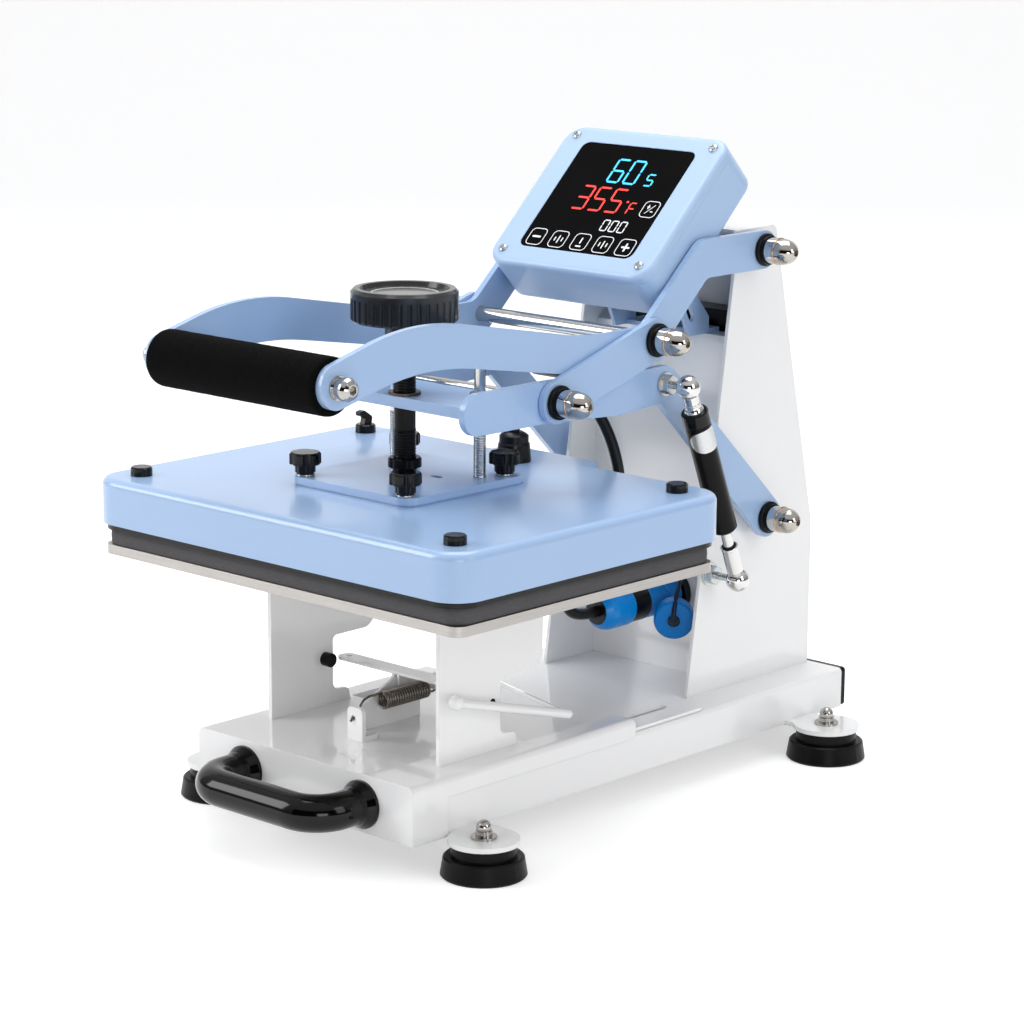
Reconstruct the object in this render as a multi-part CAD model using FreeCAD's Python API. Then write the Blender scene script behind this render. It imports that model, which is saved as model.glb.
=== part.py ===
import FreeCAD, Part
import math
import os

V = FreeCAD.Vector

# Millimetres. X is to the right, the user stands at -Y, Z is up and the floor is Z = 0.
# The origin is on the floor, under the middle of the length and width.

# Overall
overall_depth = 480.0
box_top = 410.0
rear_y = overall_depth / 2
grip_front_y = -overall_depth / 2

# Fits
running = 0.05
seat_gap = 0.1

# Base channel and rear end
base_half = 91.5
base_sheet = 2.5
base_bottom = 20.7
base_top = 47.4
base_front_y = -150.0
base_return = 14.0
rear_panel_thick = 4.0
base_rear_y = rear_y - rear_panel_thick
inlet_width = 28.0
inlet_height = 20.0
inlet_x = 44.0
inlet_depth = 22.0
rocker_width = 18.0
rocker_height = 12.0
rocker_depth = 8.0
rocker_x = -44.0
rocker_throw = 8.0

# Feet
foot_x = 115.0
foot_front_y = -144.0
foot_rear_y = 189.0
strap_thick = 3.0
strap_width = 28.0
strap_end_radius = 21.8
strap_bottom = 20.0
cup_radius = 26.2
cup_rim_radius = 24.5
cup_height = 12.7
spacer_radius = 20.0
foot_ball_radius = 4.7
foot_ball_height = 29.5

# Tower
tower_half = 63.4
tower_sheet = 2.5
tower_top = 351.5
tower_front = [(105.0, 0.0), (117.0, 127.0), (132.0, 229.0), (145.0, 321.5)]
tower_top_front_y = 147.0
tower_top_rear_y = 187.5
tower_rear = [(205.0, 273.0), (234.0, 146.0)]
partition_y = 153.5
partition_sheet = 2.0
partition_top = 280.2
partition_fold = 15.0

# Pivots of the linkage, as (y, z)
handle_pivot = (161.5, 338.9)
toggle_pivot = (49.0, 293.7)
yoke_pivot = (-42.0, 266.3)
arm_pivot = (171.5, 160.4)
lift_point = (63.4, 263.6)
anchor_point = (125.5, 127.8)
pivot_radius = 5.0
yoke_axle_radius = 3.2

# Layers across the machine
arm_inner_x = 70.5
arm_plate = 4.5
layer_gap = 0.6
link_plate = 4.0
arm_outer_x = arm_inner_x + arm_plate
link_inner_x = arm_outer_x + layer_gap
link_outer_x = link_inner_x + link_plate
shoulder_radius = 9.5

# Pivot hardware
bush_radius = 10.6
bush_thick = 5.0
nut_radius = 8.5
nut_thick = 6.5
nut_ring_radius = 8.9
nut_ring_thick = 1.2
dome_radius = 8.4
dome_straight = 2.5
dome_length = 13.0
nut_socket = 4.2

# Handle
grip_radius = 17.3
grip_centre = (grip_front_y + grip_radius, 297.9)
grip_tube_radius = 9.0
grip_tube_wall = 1.5
handle_end_radius = 13.1
handle_boss_radius = 12.4
grip_bolt_radius = 4.0
grip_washer_radius = 7.3
grip_head_radius = 6.9
grip_spacer_length = 4.0
grip_head_length = 6.8

# Arm, yoke and spindle
yoke_end = (-107.2, 266.7)
yoke_end_radius = 12.8
yoke_boss_radius = 13.0
waist_point = (20.0, 262.2)
waist_radius = 12.9
lift_boss_radius = 11.6
arm_end_radius = 13.2
link_end_radius = 13.4
spindle_y = -93.5
spindle_radius = 6.7
yoke_front_y = -103.0
yoke_rear_y = -54.0
yoke_plate_top = 268.0
yoke_plate_thick = 7.0
guide_x = 36.0
guide_y = -65.0
guide_radius = 3.6
guide_top = 297.0
bush_flange = 1.8
nut_flange_radius = 10.0
lift_sleeve_radius = 7.5
lift_sleeve_half = 34.0

# Upper platen
cover_half = 157.5
cover_front_y = -212.0
cover_rear_y = 28.4
cover_corner = 20.0
cover_edge = 5.0
cover_bottom = 183.4
cover_top = 212.1
cover_sheet = 1.8
bump_half = 41.0
bump_rear_y = 44.6
heater_thick = 8.0
heater_bottom = 179.5
heater_gap = 0.7
insulation_gap = 0.5
plate_half = 52.0
plate_front_y = -143.0
plate_rear_y = -37.0
plate_corner = 10.0
gasket_thick = 0.9
plate_thick = 4.5
thumb_x = 43.0
thumb_inset = 6.5
thumb_radius = 9.8
thumb_neck_radius = 6.4
thumb_foot_radius = 5.4
thumb_foot_height = 2.4
thumb_head_height = 7.6
thumb_height = 14.8
thumb_lobes = 5
thumb_scallop = 3.0
cap_x = 134.3
cap_front_y = -189.3
cap_rear_y = 5.6
cap_radius = 6.8
cap_height = 5.6
pilot_radius = 5.0
foot_nut_radius = 10.4
knob_radius = 32.9
knob_bottom = 313.0
knob_height = 20.3
knob_ribs = 36
knob_hub_radius = 12.0
knob_hub_bottom = 300.0
knob_dish = 3.0

# Lead, plug and socket
gland_y = 5.0
gland_radius = 11.0
gland_height = 19.0
lead_radius = 3.7
socket_x = 10.0
socket_z = 102.0
socket_flange = 15.5
plug_radius = 12.5
ring_radius = 13.6
plug_front_y = 75.0
cap_disc_radius = 13.4
cap_disc_side = 9.0
cap_disc_thick = 10.4
cap_facing = V(0.62, -0.77, -0.12).normalize()
cap_place = V(38.5, 120.5, 94.5)
module_half = 50.0
module_depth = 22.0
module_bottom = 204.0
module_height = 90.0
lug_width = 12.0
lug_left_x = -30.0
lug_right_x = 18.0
lug_low = 4.0
lug_high = 52.0
terminal_count = 3
terminal_left_x = -38.0
terminal_pitch = 22.0
terminal_width = 16.0
terminal_depth = 22.0
terminal_height = 18.0
terminal_drop = 30.0
tether_radius = 1.5

# Lower platen and posts
lower_half = 152.9
lower_front_y = -206.4
lower_rear_y = 21.9
lower_corner = 8.0
lower_bottom = 163.1
lower_thick = 6.1
pad_inset = 0.4
pad_corner = 12.0
pad_top = 179.2
post_outer_x = 74.5
post_sheet = 3.0
post_front_y = -140.0
post_foot_length = 69.0
post_head_length = 92.0
post_notch_length = 53.5
post_notch_bottom = 9.0
post_notch_top = 44.5
post_flange = 14.0
post_screw_radius = 2.5
thumb_screw_radius = 4.5
thumb_screw_length = 6.0
thumb_screw_point = (-93.5, 87.5)

# Carriage
shell_sheet = 1.5
shell_gap = 0.5
shell_half = base_half + shell_gap + shell_sheet
shell_top = 57.0
shell_front_y = -182.0
block_rear_y = -152.0
deck_rear_y = -66.0
rail_width = 18.0
rail_rear_y = 18.6
lip_bottom = 45.0
tray_half = base_half - 1.5
tray_sheet = 2.0
tray_bottom = 48.0
tray_rear_y = 97.0
slot_x = 71.0
slot_rear_y = 74.0
pin_y = -50.0
pin_radius = 3.0
pin_head_radius = 4.2
handle_root_x = 50.8
handle_z = 38.3
handle_bar_y = -219.0
handle_bar_radius = 11.5
handle_bend = 20.0
handle_flare = 3.5

# Hold-down
web_x = -14.0
web_sheet = 2.0
web_front_y = -128.0
tab_y = -134.5
tab_sheet = 3.0
tab_half = 6.5
tab_height = 21.0
tab_foot = 12.0
hold_pivot = (-84.0, 82.0)
hold_pin_radius = 2.0
strap_z = 88.0
hold_strap_width = 12.0
hold_strap_thick = 2.0
hold_strap_half = 66.0
lever_x = 84.0
lever_ball = (-135.6, 97.8)
lever_ball_radius = 4.7
lever_rear = (-35.3, 70.1)
lever_rod_radius = 3.0
spring_x = -3.0
spring_z = 77.0
spring_front_y = -111.4
spring_length = 39.9
spring_wire = 0.8
spring_radius = 5.05
hook_drop = 6.0
hook_hole_radius = 1.7
eye_rise = 2.0
eye_back = 5.3
loop_pin_radius = 1.6
loop_pin_back = 0.85

# Gas spring
stud_ball_radius = 4.2
stud_neck_radius = 2.4
stud_washer_radius = 7.7
stud_hex_across = 11.0
upper_ball_x = 94.0
lower_ball_x = 87.5
socket_ball_radius = 7.7
gas_body_radius = 8.5
gas_bore_radius = 7.0
gas_body_start = 17.3
gas_body_end = 109.0
gas_rod_radius = 3.5
gas_rod_bare = 14.5
gas_piston_start = 55.0
gas_piston_length = 6.0
gas_neck_radius = 4.8

# Control box
box_half = 68.5
box_length = 118.2
box_depth = 37.0
box_front_depth = 7.0
box_corner = 14.0
box_edge = 3.5
box_wall = 2.0
board_half = 52.0
board_sheet = 1.6
board_drop = 12.0
board_post_x = 48.5
board_post_gap = 4.5
board_post_radius = 3.0
face_tilt = 43.66
face_top_y = 134.3
glass_half = 47.9
glass_from_top = 13.6
glass_length = 89.9
glass_thick = 3.0
screw_x = 57.9
screw_top = 9.1
screw_low = 107.6
screw_radius = 3.3
screw_shank_radius = 1.5
screw_depth = 20.0
bracket_half = 33.0
bracket_sheet = 3.0
bracket_bolt_x = 18.0


def box(x0, x1, y0, y1, z0, z1):
    return Part.makeBox(x1 - x0, y1 - y0, z1 - z0, V(x0, y0, z0))


def rod(start, end, radius):
    way = end - start
    return Part.makeCylinder(radius, way.Length, start, way)


def rod_x(point, x0, x1, radius):
    return Part.makeCylinder(radius, x1 - x0, V(x0, point[0], point[1]), V(1, 0, 0))


def rod_y(x, z, y0, y1, radius):
    return Part.makeCylinder(radius, y1 - y0, V(x, y0, z), V(0, 1, 0))


def rod_z(x, y, z0, z1, radius):
    return Part.makeCylinder(radius, z1 - z0, V(x, y, z0), V(0, 0, 1))


def outline(corners, place):
    """A closed wire through corners (a, b, radius), each rounded, put in space by place(a, b)."""
    count = len(corners)
    starts = []
    for i, (a, b, radius) in enumerate(corners):
        before = corners[i - 1]
        after = corners[(i + 1) % count]
        to_before = V(before[0] - a, before[1] - b, 0)
        to_after = V(after[0] - a, after[1] - b, 0)
        half = to_before.getAngle(to_after) / 2
        limit = min(to_before.Length, to_after.Length) / 2
        to_before.normalize()
        to_after.normalize()
        here = V(a, b, 0)
        if radius <= 0:
            starts.append((here, here, here))
            continue
        reach = min(radius / math.tan(half), limit)
        radius = reach * math.tan(half)
        inward = (to_before + to_after).normalize()
        middle = here + inward * (radius / math.sin(half) - radius)
        starts.append((here + to_before * reach, middle, here + to_after * reach))
    edges = []
    for i, (start, middle, end) in enumerate(starts):
        if start.distanceToPoint(end) > 1e-6:
            arc = Part.Arc(place(start.x, start.y), place(middle.x, middle.y), place(end.x, end.y))
            edges.append(arc.toShape())
        following = starts[(i + 1) % count][0]
        if end.distanceToPoint(following) > 1e-6:
            edges.append(Part.makeLine(place(end.x, end.y), place(following.x, following.y)))
    return Part.Wire(edges)


def side_plate(corners, x0, x1):
    """A plate with a (y, z) outline, from x0 to x1."""
    face = Part.Face(outline(corners, lambda a, b: V(x0, a, b)))
    return face.extrude(V(x1 - x0, 0, 0))


def flat_plate(corners, z0, z1):
    """A plate with an (x, y) outline, from z0 to z1."""
    face = Part.Face(outline(corners, lambda a, b: V(a, b, z0)))
    return face.extrude(V(0, 0, z1 - z0))


def front_plate(corners, y0, y1):
    """A plate with an (x, z) outline, from y0 to y1."""
    face = Part.Face(outline(corners, lambda a, b: V(a, y0, b)))
    return face.extrude(V(0, y1 - y0, 0))


def rectangle(a0, a1, b0, b1, radius=0.0):
    return [(a0, b0, radius), (a1, b0, radius), (a1, b1, radius), (a0, b1, radius)]


def hull_plate(first, first_radius, second, second_radius, x0, x1):
    """A plate whose (y, z) outline is a belt round two circles."""
    way = V(second[0] - first[0], second[1] - first[1], 0)
    lean = math.acos((first_radius - second_radius) / way.Length)
    heading = math.atan2(way.y, way.x)

    def on(centre, radius, angle):
        return V(x0, centre[0] + radius * math.cos(angle), centre[1] + radius * math.sin(angle))

    first_a = on(first, first_radius, heading + lean)
    first_b = on(first, first_radius, heading - lean)
    first_back = on(first, first_radius, heading + math.pi)
    second_a = on(second, second_radius, heading + lean)
    second_b = on(second, second_radius, heading - lean)
    second_far = on(second, second_radius, heading)
    wire = Part.Wire([
        Part.Arc(first_a, first_back, first_b).toShape(),
        Part.makeLine(first_b, second_b),
        Part.Arc(second_b, second_far, second_a).toShape(),
        Part.makeLine(second_a, first_a),
    ])
    return Part.Face(wire).extrude(V(x1 - x0, 0, 0))


def turned(profile, base, axis):
    """A solid of revolution from (radius, height) points, standing on base along axis."""
    points = [V(radius, 0, height) for radius, height in profile]
    face = Part.Face(Part.makePolygon(points + [points[0]]))
    solid = face.revolve(V(0, 0, 0), V(0, 0, 1), 360)
    solid.Placement = FreeCAD.Placement(base, FreeCAD.Rotation(V(0, 0, 1), axis))
    return solid


def united(shapes):
    whole = shapes[0]
    if len(shapes) > 1:
        whole = whole.fuse(shapes[1:])
    return whole.removeSplitter()


def mirrored(shape):
    return shape.mirror(V(0, 0, 0), V(1, 0, 0))


def both_sides(shape):
    return [shape, mirrored(shape)]


def save(name, shapes):
    """Writes one node, a group of separate solids."""
    solids = []
    for shape in shapes:
        solids.extend(shape.Solids)
    Part.makeCompound(solids).exportStep("parts/" + name + ".step")


def cord_path(points):
    """Straight runs joined by tangent arcs as large as the runs allow, and the smallest radius."""
    knots = [points[0]]
    edges = []
    least = 1e9
    for before, here, after in zip(points, points[1:], points[2:]):
        to_before = before - here
        to_after = after - here
        half = to_before.getAngle(to_after) / 2
        shorter = min(to_before.Length, to_after.Length)
        reach = 0.45 * shorter
        radius = reach * math.tan(half)
        least = min(least, radius)
        to_before.normalize()
        to_after.normalize()
        inward = (to_before + to_after).normalize()
        start = here + to_before * reach
        end = here + to_after * reach
        middle = here + inward * (radius / math.sin(half) - radius)
        edges.append(Part.makeLine(knots[-1], start))
        edges.append(Part.Arc(start, middle, end).toShape())
        knots.append(end)
    edges.append(Part.makeLine(knots[-1], points[-1]))
    return Part.Wire(edges), least


def tube_along(wire, radius):
    """A solid round tube along a smooth wire."""
    first = wire.OrderedEdges[0]
    start = first.valueAt(first.FirstParameter)
    way = first.tangentAt(first.FirstParameter)
    ring = Part.Wire(Part.makeCircle(radius, start, way))
    shell = Part.BRepOffsetAPI.MakePipeShell(wire)
    shell.add(ring)
    shell.build()
    shell.makeSolid()
    return shell.shape()


def cap_nut(point, x0):
    """Round collar, thin ring and dome with a small hexagon socket, outward from x0."""
    chamfer = 0.5
    body = turned([(0, 0), (nut_radius - chamfer, 0), (nut_radius, chamfer), (nut_radius, nut_thick),
                   (0, nut_thick)],
                  V(x0, point[0], point[1]), V(1, 0, 0))
    dome_x = x0 + nut_thick + nut_ring_thick
    ring = rod_x(point, x0 + nut_thick, dome_x, nut_ring_radius)
    straight = rod_x(point, dome_x, dome_x + dome_straight, dome_radius)
    round_length = dome_length - dome_straight
    ball = Part.makeSphere(dome_radius)
    stretch = FreeCAD.Matrix()
    stretch.scale(1, 1, round_length / dome_radius)
    ball = ball.transformGeometry(stretch)
    ball = ball.common(box(-dome_radius, dome_radius, -dome_radius, dome_radius, 0, 2 * round_length))
    ball.Placement = FreeCAD.Placement(V(dome_x + dome_straight, point[0], point[1]),
                                       FreeCAD.Rotation(V(0, 0, 1), V(1, 0, 0)))
    socket = prism_x(point, dome_x + dome_length - 3.5, 6.0, nut_socket)
    bore = rod_x(point, x0 - 1, x0 + nut_thick + 2.0, pivot_radius + running)
    return united([body, ring, straight, ball]).cut(socket).cut(bore)


def prism_x(point, x0, length, across):
    """A hexagonal bar along X, its size given across the flats."""
    radius = across / math.sqrt(3)
    corners = []
    for k in range(6):
        angle = math.pi / 6 + k * math.pi / 3
        corners.append((point[0] + radius * math.cos(angle), point[1] + radius * math.sin(angle), 0))
    return side_plate(corners, x0, x0 + length)


def black_bush(point, x0):
    """Flanged black bush between a moving plate and its nut."""
    rim = bush_thick * 0.45
    neck = bush_radius - 1.3
    profile = [(pivot_radius + running, 0), (bush_radius - 0.6, 0), (bush_radius, 0.6), (bush_radius, rim),
               (neck, rim + 0.8), (neck, bush_thick), (pivot_radius + running, bush_thick)]
    return turned(profile, V(x0, point[0], point[1]), V(1, 0, 0))


def nut_end_x(plate_face_x):
    """How far an axle reaches into the nut outside a plate whose face is at plate_face_x."""
    return plate_face_x + seat_gap + bush_thick + nut_thick + 1.5


def pivot_axle(point):
    """Axle through both tower plates, with a shoulder each side that carries the moving plate."""
    end = nut_end_x(arm_outer_x)
    shaft = rod_x(point, -end, end, pivot_radius)
    shoulder = rod_x(point, tower_half, arm_inner_x - seat_gap, shoulder_radius)
    return united([shaft] + both_sides(shoulder))


def axle_hole(point):
    return rod_x(point, -200, 200, pivot_radius + running)


# Base

def base_channel():
    width = base_half
    outer = front_plate([(-width, base_bottom, 0), (-width, base_top, 3), (width, base_top, 3),
                         (width, base_bottom, 0)], base_front_y, base_rear_y)
    inner_half = base_half - base_sheet
    inner = box(-inner_half, inner_half, base_front_y - 1, base_rear_y + 1, base_bottom - 1,
                base_top - base_sheet)
    channel = outer.cut(inner)
    strap_top = strap_bottom + strap_thick
    fold = box(inner_half - base_return, inner_half, base_front_y, base_rear_y, strap_top,
               strap_top + base_sheet)
    channel = united([channel] + both_sides(fold))
    for middle in strap_middles():
        notch = box(-width - 1, width + 1, middle - strap_width / 2 - 0.2, middle + strap_width / 2 + 0.2,
                    base_bottom - 1, strap_top)
        channel = channel.cut(notch)
    return channel


def strap_middles():
    front = max(foot_front_y, base_front_y + strap_width / 2)
    return [front, foot_rear_y]


def foot_places():
    places = []
    for y in (foot_front_y, foot_rear_y):
        for x in (-foot_x, foot_x):
            places.append((x, y))
    return places


def foot_straps():
    top = strap_bottom + strap_thick
    straps = []
    for middle, y in zip(strap_middles(), (foot_front_y, foot_rear_y)):
        bar = box(-foot_x, foot_x, middle - strap_width / 2, middle + strap_width / 2, strap_bottom, top)
        ends = [rod_z(x, y, strap_bottom, top, strap_end_radius) for x in (-foot_x, foot_x)]
        strap = united([bar] + ends)
        for x in (-foot_x, foot_x):
            strap = strap.cut(rod_z(x, y, strap_bottom - 1, top + 1, pilot_radius + running))
        straps.append(strap)
    return straps


def foot_cups():
    cups = []
    profile = [(0, 0), (cup_radius - 1.0, 0), (cup_radius, 1.2), (cup_rim_radius, cup_height - 1.0),
               (cup_rim_radius - 1.2, cup_height), (spacer_radius, cup_height),
               (spacer_radius, strap_bottom - 0.6), (spacer_radius - 0.6, strap_bottom),
               (pilot_radius + running, strap_bottom), (pilot_radius + running, cup_height / 2),
               (0, cup_height / 2)]
    for x, y in foot_places():
        cups.append(turned(profile, V(x, y, 0), V(0, 0, 1)))
    return cups


def foot_bolts():
    top = strap_bottom + strap_thick
    bolts = []
    for x, y in foot_places():
        shank = rod_z(x, y, cup_height / 2, top, pilot_radius)
        washer = rod_z(x, y, top, top + 1.4, 8.0)
        collar = rod_z(x, y, top + 1.4, top + 4.4, 5.2)
        ball = Part.makeSphere(foot_ball_radius, V(x, y, foot_ball_height))
        bolts.append(united([shank, washer, collar, ball]))
    return bolts


def rear_panel():
    panel = front_plate(rectangle(-base_half, base_half, base_bottom, base_top, 2.5), base_rear_y, rear_y)
    middle = (base_bottom + base_top) / 2
    edge = 1.6
    inlet_hole = front_plate(rectangle(inlet_x - inlet_width / 2, inlet_x + inlet_width / 2,
                                       middle - inlet_height / 2, middle + inlet_height / 2, 2.0),
                             base_rear_y - 1, rear_y + 1)
    half_width = rocker_width / 2 + edge
    half_height = rocker_height / 2 + edge
    housing = box(rocker_x - half_width, rocker_x + half_width, base_rear_y - rocker_depth, base_rear_y,
                  middle - half_height, middle + half_height)
    well = box(rocker_x - rocker_width / 2 - 0.6, rocker_x + rocker_width / 2 + 0.6,
               base_rear_y - rocker_depth + edge, rear_y + 1,
               middle - rocker_height / 2 - 0.3, middle + rocker_height / 2 + 0.3)
    pin = rod_z(rocker_x, rocker_axis_y(), middle - half_height - 1, middle + half_height + 1, 1.0 + running)
    return united([panel, housing]).cut(inlet_hole).cut(well).cut(pin)


def rocker_axis_y():
    return base_rear_y - 0.5


def rocker_middle_z():
    return (base_bottom + base_top) / 2


def switch_rocker():
    """Two-faced rocker on a short upright pin, pressed in at its left."""
    middle = rocker_middle_z()
    axis_y = rocker_axis_y()
    half = rocker_width / 2
    face = rear_y - 0.4 - axis_y
    slope = math.tan(math.radians(rocker_throw))
    corners = [(-half, face - 1.2 - half * slope, 0.6), (0, face - 1.2, 0),
               (half, face - 1.2 - half * slope, 0.6),
               (half - 1.5, -1.0, 0), (2.5, -3.0, 1.0), (-2.5, -3.0, 1.0), (1.5 - half, -1.0, 0)]
    body = flat_plate(corners, middle - rocker_height / 2, middle + rocker_height / 2)
    pin = rod_z(0, 0, middle - rocker_height / 2 - 1.4, middle + rocker_height / 2 + 1.4, 1.0)
    rocker = united([body, pin])
    rocker.rotate(V(0, 0, 0), V(0, 0, 1), rocker_throw)
    rocker.translate(V(rocker_x, axis_y, 0))
    return rocker


def power_inlet():
    middle = rocker_middle_z()
    half_width = inlet_width / 2 - 0.1
    half_height = inlet_height / 2 - 0.1
    body = front_plate(rectangle(inlet_x - half_width, inlet_x + half_width, middle - half_height,
                                 middle + half_height, 1.8), rear_y - inlet_depth, rear_y - 0.3)
    well = front_plate([(inlet_x - 11.5, middle - 7.2, 1.0), (inlet_x + 11.5, middle - 7.2, 1.0),
                        (inlet_x + 11.5, middle + 3.4, 0), (inlet_x + 7.6, middle + 7.2, 0),
                        (inlet_x - 7.6, middle + 7.2, 0), (inlet_x - 11.5, middle + 3.4, 0)],
                       rear_y - inlet_depth + 4.0, rear_y + 1)
    blades = []
    for dx, dz in ((-7.0, -1.6), (0.0, 2.4), (7.0, -1.6)):
        blades.append(box(inlet_x + dx - 0.9, inlet_x + dx + 0.9, rear_y - inlet_depth + 4.0, rear_y - 6.0,
                          middle + dz - 2.0, middle + dz + 2.0))
    return united([body.cut(well)] + blades)


def guide_pins():
    pins = []
    for x in (-slot_x, slot_x):
        shank = rod_z(x, pin_y, base_top, tray_bottom + tray_sheet + 0.3, pin_radius)
        head = rod_z(x, pin_y, tray_bottom + tray_sheet + 0.3, tray_bottom + tray_sheet + 2.6,
                     pin_head_radius)
        pins.append(united([shank, head]))
    return pins


# Tower

def tower_outline(foot_z):
    corners = [(tower_front[0][0], foot_z, 0)]
    corners += [(y, z, 60.0) for y, z in tower_front[1:]]
    corners += [(tower_top_front_y, tower_top, 4.0), (tower_top_rear_y, tower_top, 5.0)]
    corners += [(y, z, 40.0) for y, z in tower_rear]
    corners += [(tower_rear[-1][0], foot_z, 0)]
    return corners


def tower_sides():
    plate = side_plate(tower_outline(base_top), tower_half - tower_sheet, tower_half)
    for point in (handle_pivot, arm_pivot):
        plate = plate.cut(axle_hole(point))
    plate = plate.cut(rod_x(anchor_point, 0, 200, stud_shank_radius() + running))
    left = mirrored(side_plate(tower_outline(base_top), tower_half - tower_sheet, tower_half))
    for point in (handle_pivot, arm_pivot):
        left = left.cut(axle_hole(point))
    return [plate, left]


def tower_partition():
    inner = tower_half - tower_sheet
    wall = box(-inner, inner, partition_y, partition_y + partition_sheet, base_top, partition_top)
    fold = box(-inner, inner, partition_y, partition_y + partition_fold, partition_top - partition_sheet,
               partition_top)
    sheet = united([wall, fold])
    for x in (-bracket_bolt_x, bracket_bolt_x):
        sheet = sheet.cut(rod_z(x, bracket_bolt_y(), partition_top - 5, partition_top + 1, 2.5 + running))
    return sheet.cut(rod_y(socket_x, socket_z, partition_y - 1, partition_y + 10,
                           plug_radius - 1.5 + running))


def bracket_bolt_y():
    return partition_y + 9.0


def tower_back():
    """Folded sheet that closes the tower's top and rear, between the side plates."""
    inner = tower_half - tower_sheet
    path = [(tower_top_front_y, tower_top), (tower_top_rear_y, tower_top)]
    path += tower_rear
    path += [(tower_rear[-1][0], base_top)]
    outer = [(y, z, 0) for y, z in path]
    inside = [(y, z, 0) for y, z in offset_path(path, partition_sheet)]
    sheet = side_plate(outer + inside[::-1], -inner, inner)
    return sheet


def offset_path(points, distance):
    """The polyline moved sideways, to the right of its direction of travel."""
    moved = []
    ways = []
    for first, second in zip(points, points[1:]):
        length = math.hypot(second[0] - first[0], second[1] - first[1])
        ways.append(((second[0] - first[0]) / length, (second[1] - first[1]) / length))
    for i, point in enumerate(points):
        before = ways[max(i - 1, 0)]
        after = ways[min(i, len(ways) - 1)]
        normal = ((before[1] + after[1]) / 2, -(before[0] + after[0]) / 2)
        scale = distance / (normal[0] ** 2 + normal[1] ** 2)
        moved.append((point[0] + normal[0] * scale, point[1] + normal[1] * scale))
    return moved


def pivot_hardware(points, plate_face_x, make):
    pieces = []
    for point in points:
        pieces.extend(both_sides(make(point, plate_face_x)))
    return pieces


def bush_on(point, face_x):
    return black_bush(point, face_x + seat_gap)


def nut_on(point, face_x):
    return cap_nut(point, face_x + seat_gap + bush_thick)


# Handle

def handle_outline():
    grip_y, grip_z = grip_centre
    toggle_y, toggle_z = toggle_pivot
    pivot_y, pivot_z = handle_pivot
    end = handle_end_radius
    boss = handle_boss_radius
    return [
        (grip_y - 15.7, grip_z + 10.2, end),
        (grip_y + 62.7, grip_z + 31.8, 235.0),
        (toggle_y - 59.5, toggle_z + 8.3, 180.0),
        (toggle_y - 6.4, toggle_z + 8.5, 14.0),
        (pivot_y - 64.5, pivot_z + boss, 16.0),
        (pivot_y + boss, pivot_z + boss, boss),
        (pivot_y + boss, pivot_z - boss, boss),
        (pivot_y - 58.0, pivot_z - boss, 9.0),
        (toggle_y + 3.5, toggle_z - 14.5, 14.0),
        (toggle_y - 57.0, toggle_z - 16.1, 150.0),
        (grip_y + 70.0, grip_z + 4.0, 225.0),
        (grip_y - 10.2, grip_z - 15.6, end),
    ]


def handle_arms():
    arm = side_plate(handle_outline(), arm_inner_x, arm_outer_x)
    arm = arm.cut(axle_hole(handle_pivot)).cut(axle_hole(toggle_pivot))
    arm = arm.cut(rod_x(grip_centre, 0, 200, grip_bolt_radius + running))
    return both_sides(arm)


def grip_tube():
    half = arm_inner_x - running
    tube = rod_x(grip_centre, -half, half, grip_tube_radius)
    bore = rod_x(grip_centre, -half - 1, half + 1, grip_tube_radius - grip_tube_wall)
    plug_length = 16.0
    plugs = [rod_x(grip_centre, -half, -half + plug_length, grip_tube_radius - grip_tube_wall),
             rod_x(grip_centre, half - plug_length, half, grip_tube_radius - grip_tube_wall)]
    tube = united([tube.cut(bore)] + plugs)
    threads = rod_x(grip_centre, -half - 1, half + 1, grip_bolt_radius + running)
    return tube.cut(threads)


def foam_grip():
    half = arm_inner_x - seat_gap
    foam = rod_x(grip_centre, -half, half, grip_radius)
    foam = foam.makeFillet(2.0, [edge for edge in foam.Edges
                                 if abs(edge.Length - 2 * math.pi * grip_radius) < 1])
    return foam.cut(rod_x(grip_centre, -half - 1, half + 1, grip_tube_radius + running))


def grip_bolts():
    face = arm_outer_x
    washer_thick = 1.2
    shank = rod_x(grip_centre, arm_inner_x - 14.0, face + 2.0, grip_bolt_radius)
    washer = rod_x(grip_centre, face, face + washer_thick, grip_washer_radius)
    spacer = rod_x(grip_centre, face + washer_thick, face + washer_thick + grip_spacer_length,
                   grip_head_radius - 0.8)
    head_x = face + washer_thick + grip_spacer_length
    profile = [(0, 0), (grip_head_radius, 0), (grip_head_radius, grip_head_length * 0.45),
               (grip_head_radius - 1.2, grip_head_length * 0.8), (grip_head_radius - 3.2, grip_head_length),
               (0, grip_head_length)]
    head = turned(profile, V(head_x, grip_centre[0], grip_centre[1]), V(1, 0, 0))
    bolt = united([shank, washer, spacer, head])
    bolt = bolt.cut(prism_x(grip_centre, head_x + grip_head_length - 3.5, 6.0, 5.0))
    return both_sides(bolt)


# Links

def link_plates():
    plate = hull_plate(yoke_pivot, link_end_radius, toggle_pivot, link_end_radius, link_inner_x, link_outer_x)
    plate = plate.cut(axle_hole(toggle_pivot)).cut(axle_hole(yoke_pivot))
    return both_sides(plate)


def toggle_axle():
    """Cross rod through handle arms and links, with the two stub pins of the links' lower ends."""
    end = nut_end_x(link_outer_x)
    cross = rod_x(toggle_pivot, -end, end, pivot_radius)
    stub = rod_x(yoke_pivot, link_inner_x, end, pivot_radius)
    return [cross] + both_sides(stub)


# Arm

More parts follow.
